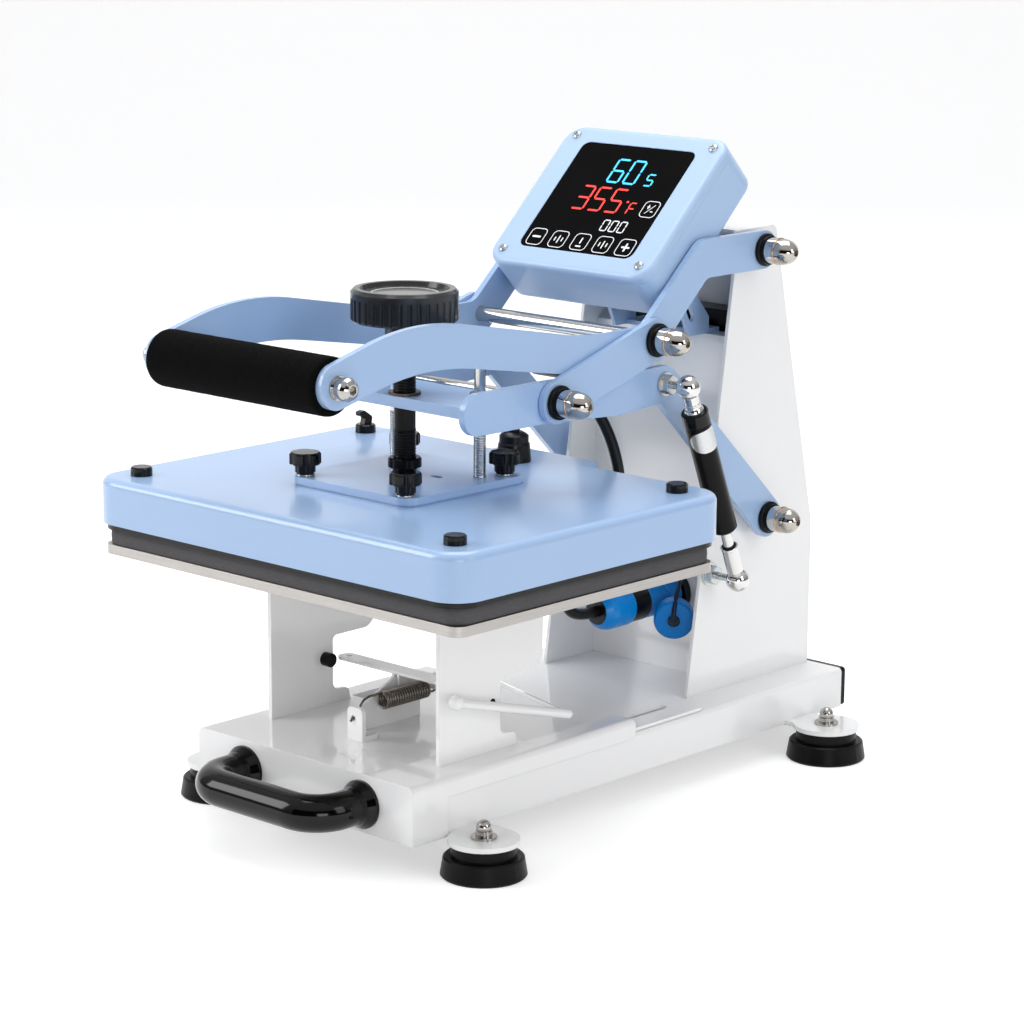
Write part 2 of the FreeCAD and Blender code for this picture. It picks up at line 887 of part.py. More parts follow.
def arm_plates():
    parts = [
        hull_plate(yoke_end, yoke_end_radius, yoke_pivot, yoke_boss_radius, arm_inner_x, arm_outer_x),
        hull_plate(yoke_pivot, yoke_boss_radius, waist_point, waist_radius, arm_inner_x, arm_outer_x),
        hull_plate(waist_point, waist_radius, lift_point, lift_boss_radius, arm_inner_x, arm_outer_x),
        hull_plate(lift_point, lift_boss_radius, arm_pivot, arm_end_radius, arm_inner_x, arm_outer_x),
    ]
    plate = united(parts)
    plate = plate.cut(axle_hole(arm_pivot)).cut(axle_hole(lift_point))
    plate = plate.cut(rod_x(yoke_pivot, 0, 200, yoke_axle_radius + running))
    return both_sides(plate)


def yoke_plate():
    bottom = yoke_plate_top - yoke_plate_thick
    plate = box(-arm_inner_x, arm_inner_x, yoke_front_y, yoke_rear_y, bottom, yoke_plate_top)
    plate = plate.cut(rod_z(0, spindle_y, bottom - 1, yoke_plate_top + 1, nut_body_radius() + running))
    for x in (-guide_x, guide_x):
        plate = plate.cut(rod_z(x, guide_y, bottom - 1, yoke_plate_top + 1, guide_bush_radius() + running))
    return plate


def nut_body_radius():
    return spindle_radius + 2.4


def guide_bush_radius():
    return guide_radius + 1.4


def flanged_bush(x, y, bore, body, flange):
    bottom = yoke_plate_top - yoke_plate_thick
    sleeve = rod_z(x, y, bottom, yoke_plate_top, body)
    rim = rod_z(x, y, yoke_plate_top, yoke_plate_top + bush_flange, flange)
    return united([sleeve, rim]).cut(rod_z(x, y, bottom - 1, yoke_plate_top + 10, bore + running))


def yoke_bushes():
    bushes = [flanged_bush(0, spindle_y, spindle_radius, nut_body_radius(), nut_flange_radius)]
    for x in (-guide_x, guide_x):
        bushes.append(flanged_bush(x, guide_y, guide_radius, guide_bush_radius(), guide_radius + 2.6))
    return bushes


def arm_axles():
    """Thin tie rod at the yoke, and the thick rod with a sleeve at the lifting point."""
    tie = rod_x(yoke_pivot, -arm_outer_x, arm_outer_x, yoke_axle_radius)
    lift = rod_x(lift_point, -arm_outer_x, arm_inner_x - seat_gap, pivot_radius)
    sleeve = rod_x(lift_point, -lift_sleeve_half, lift_sleeve_half, lift_sleeve_radius)
    return [tie, united([lift, sleeve])]


def stud_shank_radius():
    return 4.0


def ball_stud(point, shank_x, face_x, ball_x, shank_radius):
    """Ball stud standing out along X: shank, washer, hexagon, neck and ball."""
    washer = 1.6
    hexagon = 5.0
    pieces = [
        rod_x(point, shank_x, face_x, shank_radius),
        rod_x(point, face_x, face_x + washer, stud_washer_radius),
        prism_x(point, face_x + washer, hexagon, stud_hex_across),
        rod_x(point, face_x + washer + hexagon, ball_x, stud_neck_radius),
        Part.makeSphere(stud_ball_radius, V(ball_x, point[0], point[1])),
    ]
    return united(pieces)


def upper_ball_stud():
    return ball_stud(lift_point, arm_inner_x, arm_outer_x, upper_ball_x, pivot_radius)


def lower_ball_stud():
    return ball_stud(anchor_point, tower_half - tower_sheet, tower_half, lower_ball_x, stud_shank_radius())


# Gas spring, built from its upper ball downward and then laid along its line

def gas_line():
    upper = V(upper_ball_x, lift_point[0], lift_point[1])
    lower = V(lower_ball_x, anchor_point[0], anchor_point[1])
    return upper, lower


def laid_along(shape):
    upper, lower = gas_line()
    shape = shape.copy()
    shape.Placement = FreeCAD.Placement(upper, FreeCAD.Rotation(V(0, 0, 1), lower - upper))
    return shape


def gas_length():
    upper, lower = gas_line()
    return (lower - upper).Length


def gas_cylinder():
    neck = turned([(0, 5.0), (gas_neck_radius - 0.8, 5.0), (gas_neck_radius, 8.0),
                   (gas_neck_radius, gas_body_start), (0, gas_body_start)], V(0, 0, 0), V(0, 0, 1))
    body = turned([(0, gas_body_start), (gas_body_radius - 0.8, gas_body_start),
                   (gas_body_radius, gas_body_start + 0.8), (gas_body_radius, gas_body_end - 1.5),
                   (gas_body_radius - 1.5, gas_body_end), (gas_rod_radius + running, gas_body_end),
                   (gas_rod_radius + running, gas_body_end - 4.0), (gas_bore_radius, gas_body_end - 4.0),
                   (gas_bore_radius, gas_body_start + 5.0), (0, gas_body_start + 5.0)],
                  V(0, 0, 0), V(0, 0, 1))
    head = Part.makeSphere(socket_ball_radius)
    laid = laid_along(united([head, neck, body]))
    upper = gas_line()[0]
    ball = Part.makeSphere(stud_ball_radius + running, upper)
    mouth = rod_x(lift_point, 0, upper.x, stud_ball_radius - 0.6)
    return laid.cut(ball).cut(mouth)


def gas_rod():
    length = gas_length()
    neck_start = gas_body_end + gas_rod_bare
    piston = gas_piston_start
    piston_end = gas_piston_start + gas_piston_length
    shape = turned([(0, piston), (gas_bore_radius - running, piston), (gas_bore_radius - running, piston_end),
                    (gas_rod_radius, piston_end), (gas_rod_radius, neck_start),
                    (gas_neck_radius + 0.6, neck_start),
                    (gas_neck_radius + 0.6, length - 8.0), (gas_neck_radius - 0.8, length - 4.0),
                    (0, length - 4.0)], V(0, 0, 0), V(0, 0, 1))
    head = Part.makeSphere(socket_ball_radius, V(0, 0, length))
    laid = laid_along(united([shape, head]))
    lower = gas_line()[1]
    loose = 1.9
    ball = Part.makeSphere(stud_ball_radius + loose, lower)
    mouth = rod_x(anchor_point, 0, lower.x, stud_neck_radius + loose)
    return laid.cut(ball).cut(mouth)


# Upper platen

def platen_outline(inset, corner):
    return rectangle(inset - cover_half, cover_half - inset, cover_front_y + inset, cover_rear_y - inset,
                     corner)


def cover_block(inset, bottom, top):
    body = flat_plate(platen_outline(inset, cover_corner - inset), bottom, top)
    bump = flat_plate(rectangle(inset - bump_half, bump_half - inset, cover_rear_y - 30.0,
                                bump_rear_y - inset, 8.0 - inset), bottom, top)
    return united([body, bump])


def platen_cover():
    outer = cover_block(0.0, cover_bottom, cover_top)
    rim = [edge for edge in outer.Edges if edge.BoundBox.ZMin > cover_top - 0.01]
    outer = outer.makeFillet(cover_edge, rim)
    inner = cover_block(cover_sheet, cover_bottom - 1.0, cover_top - cover_sheet)
    cover = outer.cut(inner)
    lead_hole = rod_z(0, gland_y, cover_top - 10, cover_top + 1, lead_radius + 1.0)
    return cover.cut(lead_hole)


def heating_plate():
    inset = cover_sheet + heater_gap
    return flat_plate(platen_outline(inset, cover_corner - inset), heater_bottom,
                      heater_bottom + heater_thick)


def platen_insulation():
    inset = cover_sheet + insulation_gap + 3.0
    return flat_plate(platen_outline(inset, cover_corner - inset), heater_bottom + heater_thick,
                      cover_top - cover_sheet)


def pressure_plate():
    bottom = cover_top + gasket_thick
    corners = rectangle(-plate_half, plate_half, plate_front_y, plate_rear_y, plate_corner)
    plate = flat_plate(corners, bottom, bottom + plate_thick)
    slots = []
    for x in (-17.0, 17.0):
        slots.append(flat_plate(rectangle(x - 4.5, x + 4.5, spindle_y + 8.0, spindle_y + 12.5, 2.2), bottom,
                                bottom + plate_thick))
    plate = plate.cut(rod_z(0, spindle_y, bottom, bottom + plate_thick, pilot_radius + running))
    for slot in slots:
        plate = plate.cut(slot)
    gasket = flat_plate(rectangle(-plate_half + 0.8, plate_half - 0.8, plate_front_y + 0.8,
                                  plate_rear_y - 0.8, plate_corner - 0.8), cover_top, bottom)
    return [plate, gasket]


def plate_top():
    return cover_top + gasket_thick + plate_thick


def thumb_knobs():
    """Lobed heads on a round neck that stands on a narrower foot."""
    base = plate_top()
    head = thumb_height - thumb_head_height
    profile = [(0, 0), (thumb_foot_radius, 0), (thumb_foot_radius, thumb_foot_height),
               (thumb_neck_radius, thumb_foot_height), (thumb_neck_radius, head), (thumb_radius - 0.5, head),
               (thumb_radius, head + 0.5), (thumb_radius, thumb_height - 1.2),
               (thumb_radius - 1.2, thumb_height), (0, thumb_height)]
    knob = turned(profile, V(0, 0, 0), V(0, 0, 1))
    for k in range(thumb_lobes):
        angle = 2 * math.pi * (k + 0.5) / thumb_lobes
        reach = thumb_radius + thumb_scallop * 0.4
        knob = knob.cut(rod_z(reach * math.cos(angle), reach * math.sin(angle), head - 1, thumb_height + 1,
                              thumb_scallop))
    knobs = []
    for x in (-thumb_x, thumb_x):
        for y in (plate_front_y + thumb_inset, plate_rear_y - 2 * thumb_inset):
            placed = knob.copy()
            placed.translate(V(x, y, base))
            knobs.append(placed)
    return knobs


def corner_caps():
    caps = []
    profile = [(0, 0), (cap_radius, 0), (cap_radius, cap_height - 0.9), (cap_radius - 0.9, cap_height),
               (0, cap_height)]
    for x in (-cap_x, cap_x):
        for y in (cap_front_y, cap_rear_y):
            caps.append(turned(profile, V(x, y, cover_top), V(0, 0, 1)))
    top = cover_top + cap_height
    finger = side_plate([(cap_rear_y - 3.0, top, 0), (cap_rear_y + 3.5, top, 0),
                         (cap_rear_y + 4.5, top + 4.5, 2.0),
                         (cap_rear_y - 3.0, top + 9.5, 1.5), (cap_rear_y - 7.5, top + 8.5, 1.5),
                         (cap_rear_y - 6.5, top + 6.0, 1.0), (cap_rear_y - 2.0, top + 4.5, 1.0)],
                        -cap_x - 2.2, -cap_x + 2.2)
    caps[1] = united([caps[1], finger])
    return caps


def guide_rods():
    return [rod_z(x, guide_y, plate_top(), guide_top, guide_radius) for x in (-guide_x, guide_x)]


def lead_gland():
    """Stepped rubber boot where the lead leaves the cover, and its neck through the cover."""
    height = gland_height
    outer = turned([(0, 0), (gland_radius, 0), (gland_radius, height * 0.08),
                    (gland_radius - 0.9, height * 0.6),
                    (gland_radius - 1.6, height * 0.64), (gland_radius - 1.6, height * 0.87),
                    (gland_radius - 2.8, height * 0.93), (lead_radius + 2.0, height), (0, height)],
                   V(0, gland_y, cover_top), V(0, 0, 1))
    neck = rod_z(0, gland_y, cover_top - cover_sheet, cover_top, lead_radius + 1.0 - running)
    bore = rod_z(0, gland_y, cover_top - 10, cover_top + height + 1, lead_radius - 1.0)
    return united([outer, neck]).cut(bore)


def lead_points():
    """The lead's route from the top of its gland to the front of its plug."""
    return [
        V(0, gland_y, cover_top + gland_height),
        V(0, gland_y, 248.5),
        V(6.5, 13.5, 262.5),
        V(17.5, 27, 267),
        V(29, 41, 259),
        V(36, 51.5, 237.5),
        V(40.5, 59.5, 214.5),
        V(40.5, 64, 190),
        V(34.5, 60.5, 168),
        V(26, 49.5, 150),
        V(18, 38.5, 131.5),
        V(13, 42, 113.5),
        V(socket_x, 57, socket_z),
        V(socket_x, plug_front_y, socket_z),
    ]


def platen_lead():
    wire, least = cord_path(lead_points())
    tube = tube_along(wire, lead_radius)
    print("lead: length %.1f, least radius %.1f, volume ratio %.4f"
          % (wire.Length, least, tube.Volume / (math.pi * lead_radius ** 2 * wire.Length)))
    return tube


# Spindle

def spindle():
    base = plate_top()
    top = knob_bottom + knob_height * 0.55
    shaft = rod_z(0, spindle_y, base + seat_gap, top, spindle_radius)
    foot = turned([(0, 0), (7.5, 0), (7.5, 5.0), (foot_nut_radius, 5.6), (foot_nut_radius, 10.6),
                   (foot_nut_radius - 0.9, 11.5), (0, 11.5)], V(0, spindle_y, base + seat_gap), V(0, 0, 1))
    pilot = rod_z(0, spindle_y, cover_top + gasket_thick + seat_gap, base + seat_gap, pilot_radius)
    return united([shaft, foot, pilot])


def pressure_knob():
    """Dished hand wheel with a ribbed skirt, and a hub below it."""
    height = knob_height
    hub = knob_bottom - knob_hub_bottom
    base = V(0, spindle_y, knob_hub_bottom)
    wheel = turned([(0, 0), (knob_hub_radius, 0), (knob_hub_radius, hub), (knob_radius - 1.5, hub),
                    (knob_radius, hub + 1.5), (knob_radius, hub + height - 2.0),
                    (knob_radius - 2.0, hub + height),
                    (knob_radius - 5.5, hub + height), (knob_radius - 7.0, hub + height - knob_dish),
                    (0, hub + height - knob_dish)], base, V(0, 0, 1))
    grooves = []
    for k in range(knob_ribs):
        angle = 2 * math.pi * k / knob_ribs
        x = (knob_radius + 0.6) * math.cos(angle)
        y = spindle_y + (knob_radius + 0.6) * math.sin(angle)
        grooves.append(rod_z(x, y, knob_bottom - 1, knob_bottom + height * 0.72, 1.5))
    bore = rod_z(0, spindle_y, knob_hub_bottom - 1, knob_bottom + height * 0.55, spindle_radius + running)
    return wheel.cut(Part.makeCompound(grooves)).cut(bore)


# Lead socket, plug and dust cap

def lead_socket():
    flange = rod_y(socket_x, socket_z, partition_y - 5.5, partition_y, socket_flange)
    barrel = rod_y(socket_x, socket_z, partition_y, partition_y + 16.0, plug_radius - 1.5)
    nose = rod_y(socket_x, socket_z, partition_y - 16.0, partition_y - 5.5, plug_radius - 2.0)
    return united([flange, barrel, nose])


def lead_plug():
    """Coupling ring, body, clamping ring and the grommet that the lead enters."""
    back = partition_y - 6.0
    front = plug_front_y
    ring = 14.0
    body_front = front + 26.0
    pieces = [
        turned([(0, 0), (ring_radius - 0.8, 0), (ring_radius, 0.8), (ring_radius, ring - 0.8),
                (ring_radius - 0.8, ring), (0, ring)], V(socket_x, back - ring, socket_z), V(0, 1, 0)),
        rod_y(socket_x, socket_z, body_front, back - ring, plug_radius),
        turned([(0, 0), (ring_radius - 4.5, 0), (ring_radius - 1.0, 4.0), (ring_radius, 8.0),
                (ring_radius, body_front - front - 0.8), (ring_radius - 0.8, body_front - front),
                (0, body_front - front)], V(socket_x, front, socket_z), V(0, 1, 0)),
    ]
    nose = rod_y(socket_x, socket_z, partition_y - 16.0 - seat_gap, back + 1, plug_radius - 2.0 + running)
    return united(pieces).cut(nose)


def socket_cap():
    """Dust cap hanging beside the plug on its strap, which is clamped beside the socket's flange."""
    disc = turned([(0, 0), (cap_disc_radius - 0.8, 0), (cap_disc_radius, 0.8),
                   (cap_disc_radius, cap_disc_side),
                   (cap_disc_radius - 1.4, cap_disc_thick), (0, cap_disc_thick)],
                  cap_place - cap_facing * 5.0, cap_facing)
    button = turned([(0, 0), (4.0, 0), (4.0, 1.6), (3.2, 2.2), (0, 2.2)], cap_place + cap_facing * 5.4,
                    cap_facing)
    return [united([disc, button]), cap_strap()]


def strap_points():
    return [
        cap_place + cap_facing * 7.6,
        cap_place + cap_facing * 8.2 + V(0, 0, 7.0),
        V(43.0, 117.0, 110.0),
        V(38.5, 126.0, 117.5),
        V(30.5, 136.5, 120.5),
        V(24.0, 144.5, 118.5),
        V(24.0, partition_y, 118.5),
    ]


def cap_strap():
    wire, least = cord_path(strap_points())
    tube = tube_along(wire, tether_radius)
    print("cap strap: length %.1f, least radius %.1f" % (wire.Length, least))
    return tube


def power_module():
    """Relay case behind the partition, on two lugs, and three terminal blocks below it."""
    wall = partition_y + partition_sheet
    front = wall + partition_fold
    case = box(-module_half, module_half, front, front + module_depth, module_bottom,
               module_bottom + module_height)
    case = case.makeFillet(2.0, [edge for edge in case.Edges
                                 if edge.BoundBox.YMin > front + module_depth - 0.1])
    lugs = []
    for x in (lug_left_x, lug_right_x):
        for rise in (lug_low, lug_high):
            low = module_bottom + rise
            lugs.append(box(x, x + lug_width, wall, front, low, low + lug_width))
    blocks = []
    low = module_bottom - terminal_drop
    for k in range(terminal_count):
        x = terminal_left_x + terminal_pitch * k
        blocks.append(box(x, x + terminal_width, wall, wall + terminal_depth, low, low + terminal_height))
    return [united([case] + lugs)] + blocks


# Control box, built flat about the middle of its face and then tilted

def face_top():
    lift = box_edge * (math.sin(math.radians(face_tilt)) + math.cos(math.radians(face_tilt)) - 1)
    return V(0, face_top_y, box_top + lift)


def tilted(shape):
    tilt = FreeCAD.Rotation(V(1, 0, 0), face_tilt)
    middle = face_top() - tilt.multVec(V(0, box_length / 2, 0))
    shape = shape.copy()
    shape.Placement = FreeCAD.Placement(middle, tilt).multiply(shape.Placement)
    return shape


def from_top(distance):
    return box_length / 2 - distance


def box_solid(inset, z0, z1):
    half = box_half - inset
    length = box_length / 2 - inset
    return flat_plate(rectangle(-half, half, -length, length, box_corner - inset), z0, z1)


def screw_places():
    places = []
    for x in (-screw_x, screw_x):
        for distance in (screw_top, screw_low):
            places.append((x, from_top(distance)))
    return places


def glass_span():
    return from_top(glass_from_top + glass_length), from_top(glass_from_top)


def control_box_front():
    shell = box_solid(0, -box_front_depth, 0)
    rim = [edge for edge in shell.Edges if edge.BoundBox.ZMin > -0.01]
    shell = shell.makeFillet(box_edge, rim)
    shell = shell.cut(box_solid(box_wall, -box_front_depth - 1, -box_edge - 0.5))
    low, high = glass_span()
    recess = flat_plate(rectangle(-glass_half - 0.15, glass_half + 0.15, low - 0.15, high + 0.15, 6.0),
                        -glass_thick, 1)
    window = flat_plate(rectangle(-glass_half + 3, glass_half - 3, low + 3, high - 3, 3.0), -20, 1)
    shell = shell.cut(recess).cut(window)
    for x, y in screw_places():
        shell = shell.cut(rod_z(x, y, -screw_depth, 1, screw_shank_radius + 2 * running))
    posts = []
    for x in (-board_post_x, board_post_x):
        for y in (low - board_post_gap, high + board_post_gap):
            posts.append(rod_z(x, y, -board_drop, -box_edge - 0.5, board_post_radius))
    return tilted(united([shell] + posts))


def control_box_back():
    shell = box_solid(0, -box_depth, -box_front_depth)
    rim = [edge for edge in shell.Edges if edge.BoundBox.ZMax < -box_depth + 0.01]
    shell = shell.makeFillet(box_edge, rim)
    shell = shell.cut(box_solid(box_wall, -box_depth + box_wall, 1))
    bosses = []
    for x, y in screw_places():
        bosses.append(rod_z(x, y, -box_depth + 1, -box_front_depth - 0.2, 4.2))
    shell = united([shell] + bosses)
    for x, y in screw_places():
        shell = shell.cut(rod_z(x, y, -screw_depth - 4.0, 1, screw_shank_radius + running))
    for x, y in bracket_bolt_places():
        shell = shell.cut(rod_z(x, y, -box_depth - 1, -box_depth + 4, 2.0 + running))
    return tilted(shell)


def touch_screen():
    low, high = glass_span()
    glass = flat_plate(rectangle(-glass_half, glass_half, low, high, 5.9), -glass_thick, -0.2)
    return tilted(glass)


def bracket_bolt_places():
    return [(-bracket_bolt_x, 14.0), (bracket_bolt_x, 14.0)]


def box_fasteners():
    screws = []
    for x, y in screw_places():
        shank = rod_z(x, y, -screw_depth, 0, screw_shank_radius)
        head = turned([(0, 0), (screw_radius, 0), (screw_radius - 0.4, 1.2), (screw_radius - 1.6, 1.9),
                       (0, 1.9)],
                      V(x, y, 0), V(0, 0, 1))
        cross = [box(x - 1.8, x + 1.8, y - 0.35, y + 0.35, 0.9, 3.0),
                 box(x - 0.35, x + 0.35, y - 1.8, y + 1.8, 0.9, 3.0)]
        screws.append(tilted(united([shank, head]).cut(cross[0]).cut(cross[1])))
    back = -box_depth - bracket_sheet
    for x, y in bracket_bolt_places():
        shank = rod_z(x, y, back, -box_depth + 4, 2.0)
        head = rod_z(x, y, back - 3.0, back, 3.8)
        screws.append(tilted(united([shank, head])))
    top = partition_top + bracket_sheet
    for x in (-bracket_bolt_x, bracket_bolt_x):
        shank = rod_z(x, bracket_bolt_y(), partition_top - partition_sheet - 5.0, top, 2.5)
        head = rod_z(x, bracket_bolt_y(), top, top + 3.5, 4.6)
        screws.append(united([shank, head]))
    return screws


def control_board():
    """Circuit board on the front's four posts, with the display, relay and terminal block on it."""
    low, high = glass_span()
    board_z = -board_drop
    under = board_z - board_sheet
    board = flat_plate(rectangle(-board_half, board_half, low - 8.0, high + 8.0, 3.0), under, board_z)
    display = box(-40.0, 40.0, low + 25.0, high - 5.0, board_z, -glass_thick - 0.3)
    relay = box(-36.0, -16.0, low + 4.0, low + 20.0, board_z - 15.0, under)
    terminals = box(0.0, 36.0, low + 4.0, low + 14.0, board_z - 12.0, under)
    return tilted(united([board, display, relay, terminals]))


def box_bracket():
    """Sheet bracket: a tilted plate behind the box, two ears and a foot on the tower's partition."""
    back = -box_depth
    pad = flat_plate(rectangle(-bracket_half, bracket_half, 2.0, 27.0), back - bracket_sheet, back)
    for x, y in bracket_bolt_places():
        pad = pad.cut(rod_z(x, y, back - 5, back + 1, 2.0 + running))
    pad = tilted(pad)
    tilt = FreeCAD.Rotation(V(1, 0, 0), face_tilt)
    middle = face_top() - tilt.multVec(V(0, box_length / 2, 0))
    upper = middle + tilt.multVec(V(0, 27.0, back))
    lower = middle + tilt.multVec(V(0, 2.0, back))
    front_y = partition_y - 16.0
    rear = partition_y + 4.0
    ear_corners = [
        (upper.y, upper.z, 0),
        (partition_y - 7.0, partition_top + 24.0, 6.0),
        (rear, partition_top + 11.0, 2.0),
        (rear, partition_top, 0),
        (front_y, partition_top, 0),
        (front_y - 10.0, partition_top + 22.0, 10.0),
        (lower.y, lower.z, 0),
    ]
    ear = side_plate(ear_corners, bracket_half - bracket_sheet, bracket_half)
    slot = hull_plate((partition_y - 19.0, partition_top + 21.0), 2.7,
                      (partition_y - 14.0, partition_top + 12.0), 2.7,
                      bracket_half - bracket_sheet - 1, bracket_half + 1)
    ears = both_sides(ear.cut(slot))
    foot = box(-bracket_half, bracket_half, partition_y - 6.0, partition_y + partition_fold, partition_top,
               partition_top + bracket_sheet)
    for x in (-bracket_bolt_x, bracket_bolt_x):
        foot = foot.cut(rod_z(x, bracket_bolt_y(), partition_top - 1, partition_top + 10, 2.5 + running))
    return united([pad, foot] + ears)


# Carriage

def carriage_shell():
    """Front block, deck and the two side rails, folded from one sheet."""
    half = shell_half
    inner = shell_half - shell_sheet
    corner = 4.0
    section = [(-half, base_bottom, 0), (-half, shell_top, corner), (half, shell_top, corner),
               (half, base_bottom, 0)]
    hollow = [(-inner, base_bottom - 1, 0), (-inner, shell_top - shell_sheet, corner - shell_sheet),
              (inner, shell_top - shell_sheet, corner - shell_sheet), (inner, base_bottom - 1, 0)]
    bar = front_plate(section, shell_front_y, rail_rear_y)
    bar = bar.cut(front_plate(hollow, shell_front_y + shell_sheet, rail_rear_y + 1))
    below_lip = box(-half - 1, half + 1, block_rear_y, rail_rear_y + 1, base_bottom - 1, lip_bottom)
    opening_half = half - rail_width
    opening = box(-opening_half, opening_half, deck_rear_y, rail_rear_y + 1, base_bottom, shell_top + 1)
    shell = bar.cut(below_lip).cut(opening)
    tray_top = tray_bottom + tray_sheet
    inner_wall = box(opening_half, opening_half + shell_sheet, deck_rear_y, rail_rear_y, tray_top,
                     shell_top - shell_sheet)
    deck_wall = box(-opening_half - shell_sheet, opening_half + shell_sheet, deck_rear_y - shell_sheet,
                    deck_rear_y, tray_top, shell_top - shell_sheet)
    return united([shell, deck_wall] + both_sides(inner_wall))


def tray_plate():
    bottom = tray_bottom
    top = tray_bottom + tray_sheet
    front = block_rear_y
    plate = flat_plate([(-tray_half, front, 0), (tray_half, front, 0), (tray_half, tray_rear_y, 12.0),
                        (-tray_half, tray_rear_y, 12.0)], bottom, top)
    for x in (-slot_x, slot_x):
        width = pin_radius + running
        slot = flat_plate(rectangle(x - width, x + width, pin_y - pin_radius - 3.0, slot_rear_y,
                                    width - 0.01),
                          bottom - 1, top + 1)
        plate = plate.cut(slot)
    return plate


def front_handle():
    """Round bar bent to a bow, flared where it meets the carriage."""
    bar_y = handle_bar_y
    left = V(-handle_root_x, shell_front_y, handle_z)
    left_corner = V(-handle_root_x, bar_y, handle_z)
    right_corner = V(handle_root_x, bar_y, handle_z)
    right = V(handle_root_x, shell_front_y, handle_z)
    bend = handle_bend
    turn = bend * (1 - math.sqrt(0.5))
    edges = [
        Part.makeLine(left, left_corner + V(0, bend, 0)),
        Part.Arc(left_corner + V(0, bend, 0), left_corner + V(turn, turn, 0),
                 left_corner + V(bend, 0, 0)).toShape(),
        Part.makeLine(left_corner + V(bend, 0, 0), right_corner - V(bend, 0, 0)),
        Part.Arc(right_corner - V(bend, 0, 0), right_corner + V(-turn, turn, 0),
                 right_corner + V(0, bend, 0)).toShape(),
        Part.makeLine(right_corner + V(0, bend, 0), right),
    ]
    bow = tube_along(Part.Wire(edges), handle_bar_radius)
    flare_radius = handle_bar_radius + handle_flare
    roots = []
    for x in (-handle_root_x, handle_root_x):
        roots.append(turned([(0, 0), (flare_radius, 0), (flare_radius, 2.0), (handle_bar_radius + 0.8, 7.0),
                             (handle_bar_radius, 11.0), (0, 11.0)], V(x, shell_front_y, handle_z),
                            V(0, -1, 0)))
    return united([bow] + roots)


def post_outline():
    foot = shell_top
    head = lower_bottom
    front = post_front_y
    return [
        (front, foot, 0),
        (front + post_foot_length, foot, 0),
        (front + post_foot_length - 2.0, foot + post_notch_bottom - 1.0, 4.0),
        (front + post_notch_length, foot + post_notch_bottom, 5.0),
        (front + post_notch_length, foot + post_notch_top, 3.5),
        (front + post_head_length - 1.0, foot + post_notch_top, 10.0),
        (front + post_head_length, head, 0),
        (front, head, 0),
    ]


def posts():
    plate = side_plate(post_outline(), post_outer_x - post_sheet, post_outer_x)
    flange = box(post_outer_x - post_flange, post_outer_x, post_front_y, post_front_y + post_head_length,
                 lower_bottom - post_sheet, lower_bottom)
    post = united([plate, flange])
    post = post.cut(rod_x(thumb_screw_point, 0, 200, post_screw_radius + running))
    return both_sides(post)


def post_thumb_screws():
    inner = post_outer_x - post_sheet
    head = rod_x(thumb_screw_point, inner - thumb_screw_length, inner, thumb_screw_radius)
    shank = rod_x(thumb_screw_point, inner, post_outer_x, post_screw_radius)
    return both_sides(united([head, shank]))


def lower_platen():
    top = lower_bottom + lower_thick
    return flat_plate(rectangle(-lower_half, lower_half, lower_front_y, lower_rear_y, lower_corner),
                      lower_bottom, top)


def silicone_pad():
    half = lower_half - pad_inset
    corners = rectangle(-half, half, lower_front_y + pad_inset, lower_rear_y - pad_inset, pad_corner)
    pad = flat_plate(corners, lower_bottom + lower_thick, pad_top)
    rim = [edge for edge in pad.Edges if edge.BoundBox.ZMin > pad_top - 0.01]
    return pad.makeFillet(1.0, rim)


# Hold-down

def hold_down_frame():
    """The spring's tab and the web that carries the strap's pivot, both standing on the deck."""
    left = spring_x + 1.5 - tab_half
    right = spring_x + 1.5 + tab_half
    tab_top = shell_top + tab_height
    tab = front_plate([(left, shell_top, 0), (right, shell_top, 0), (right, tab_top, 3.0),
                       (left, tab_top, 3.0)],
                      tab_y - tab_sheet / 2, tab_y + tab_sheet / 2)
    foot = box(left, right, tab_y, tab_y + tab_foot, shell_top, shell_top + tab_sheet)
    tab = united([tab, foot]).cut(rod_y(spring_x, hook_height(), tab_y - 5, tab_y + 5, hook_hole_radius))
    web_top = hold_pivot[1] + 3.5
    web_rear = deck_rear_y - 1.0
    web = side_plate([(web_front_y, shell_top, 0), (web_rear, shell_top, 0), (web_rear, shell_top + 10, 2.0),
                      (hold_pivot[0] + 6.0, web_top, 4.0), (hold_pivot[0] - 6.0, web_top, 4.0),
                      (web_front_y, shell_top + 12.0, 3.0)], web_x - web_sheet / 2, web_x + web_sheet / 2)
    web = web.cut(rod_x(hold_pivot, web_x - 10, web_x + 10, hold_pin_radius + running))
    return [tab, web]


def hook_height():
    return spring_z - hook_drop


def eye_centre():
    return (spring_front_y + spring_length + eye_back, spring_z + eye_rise)


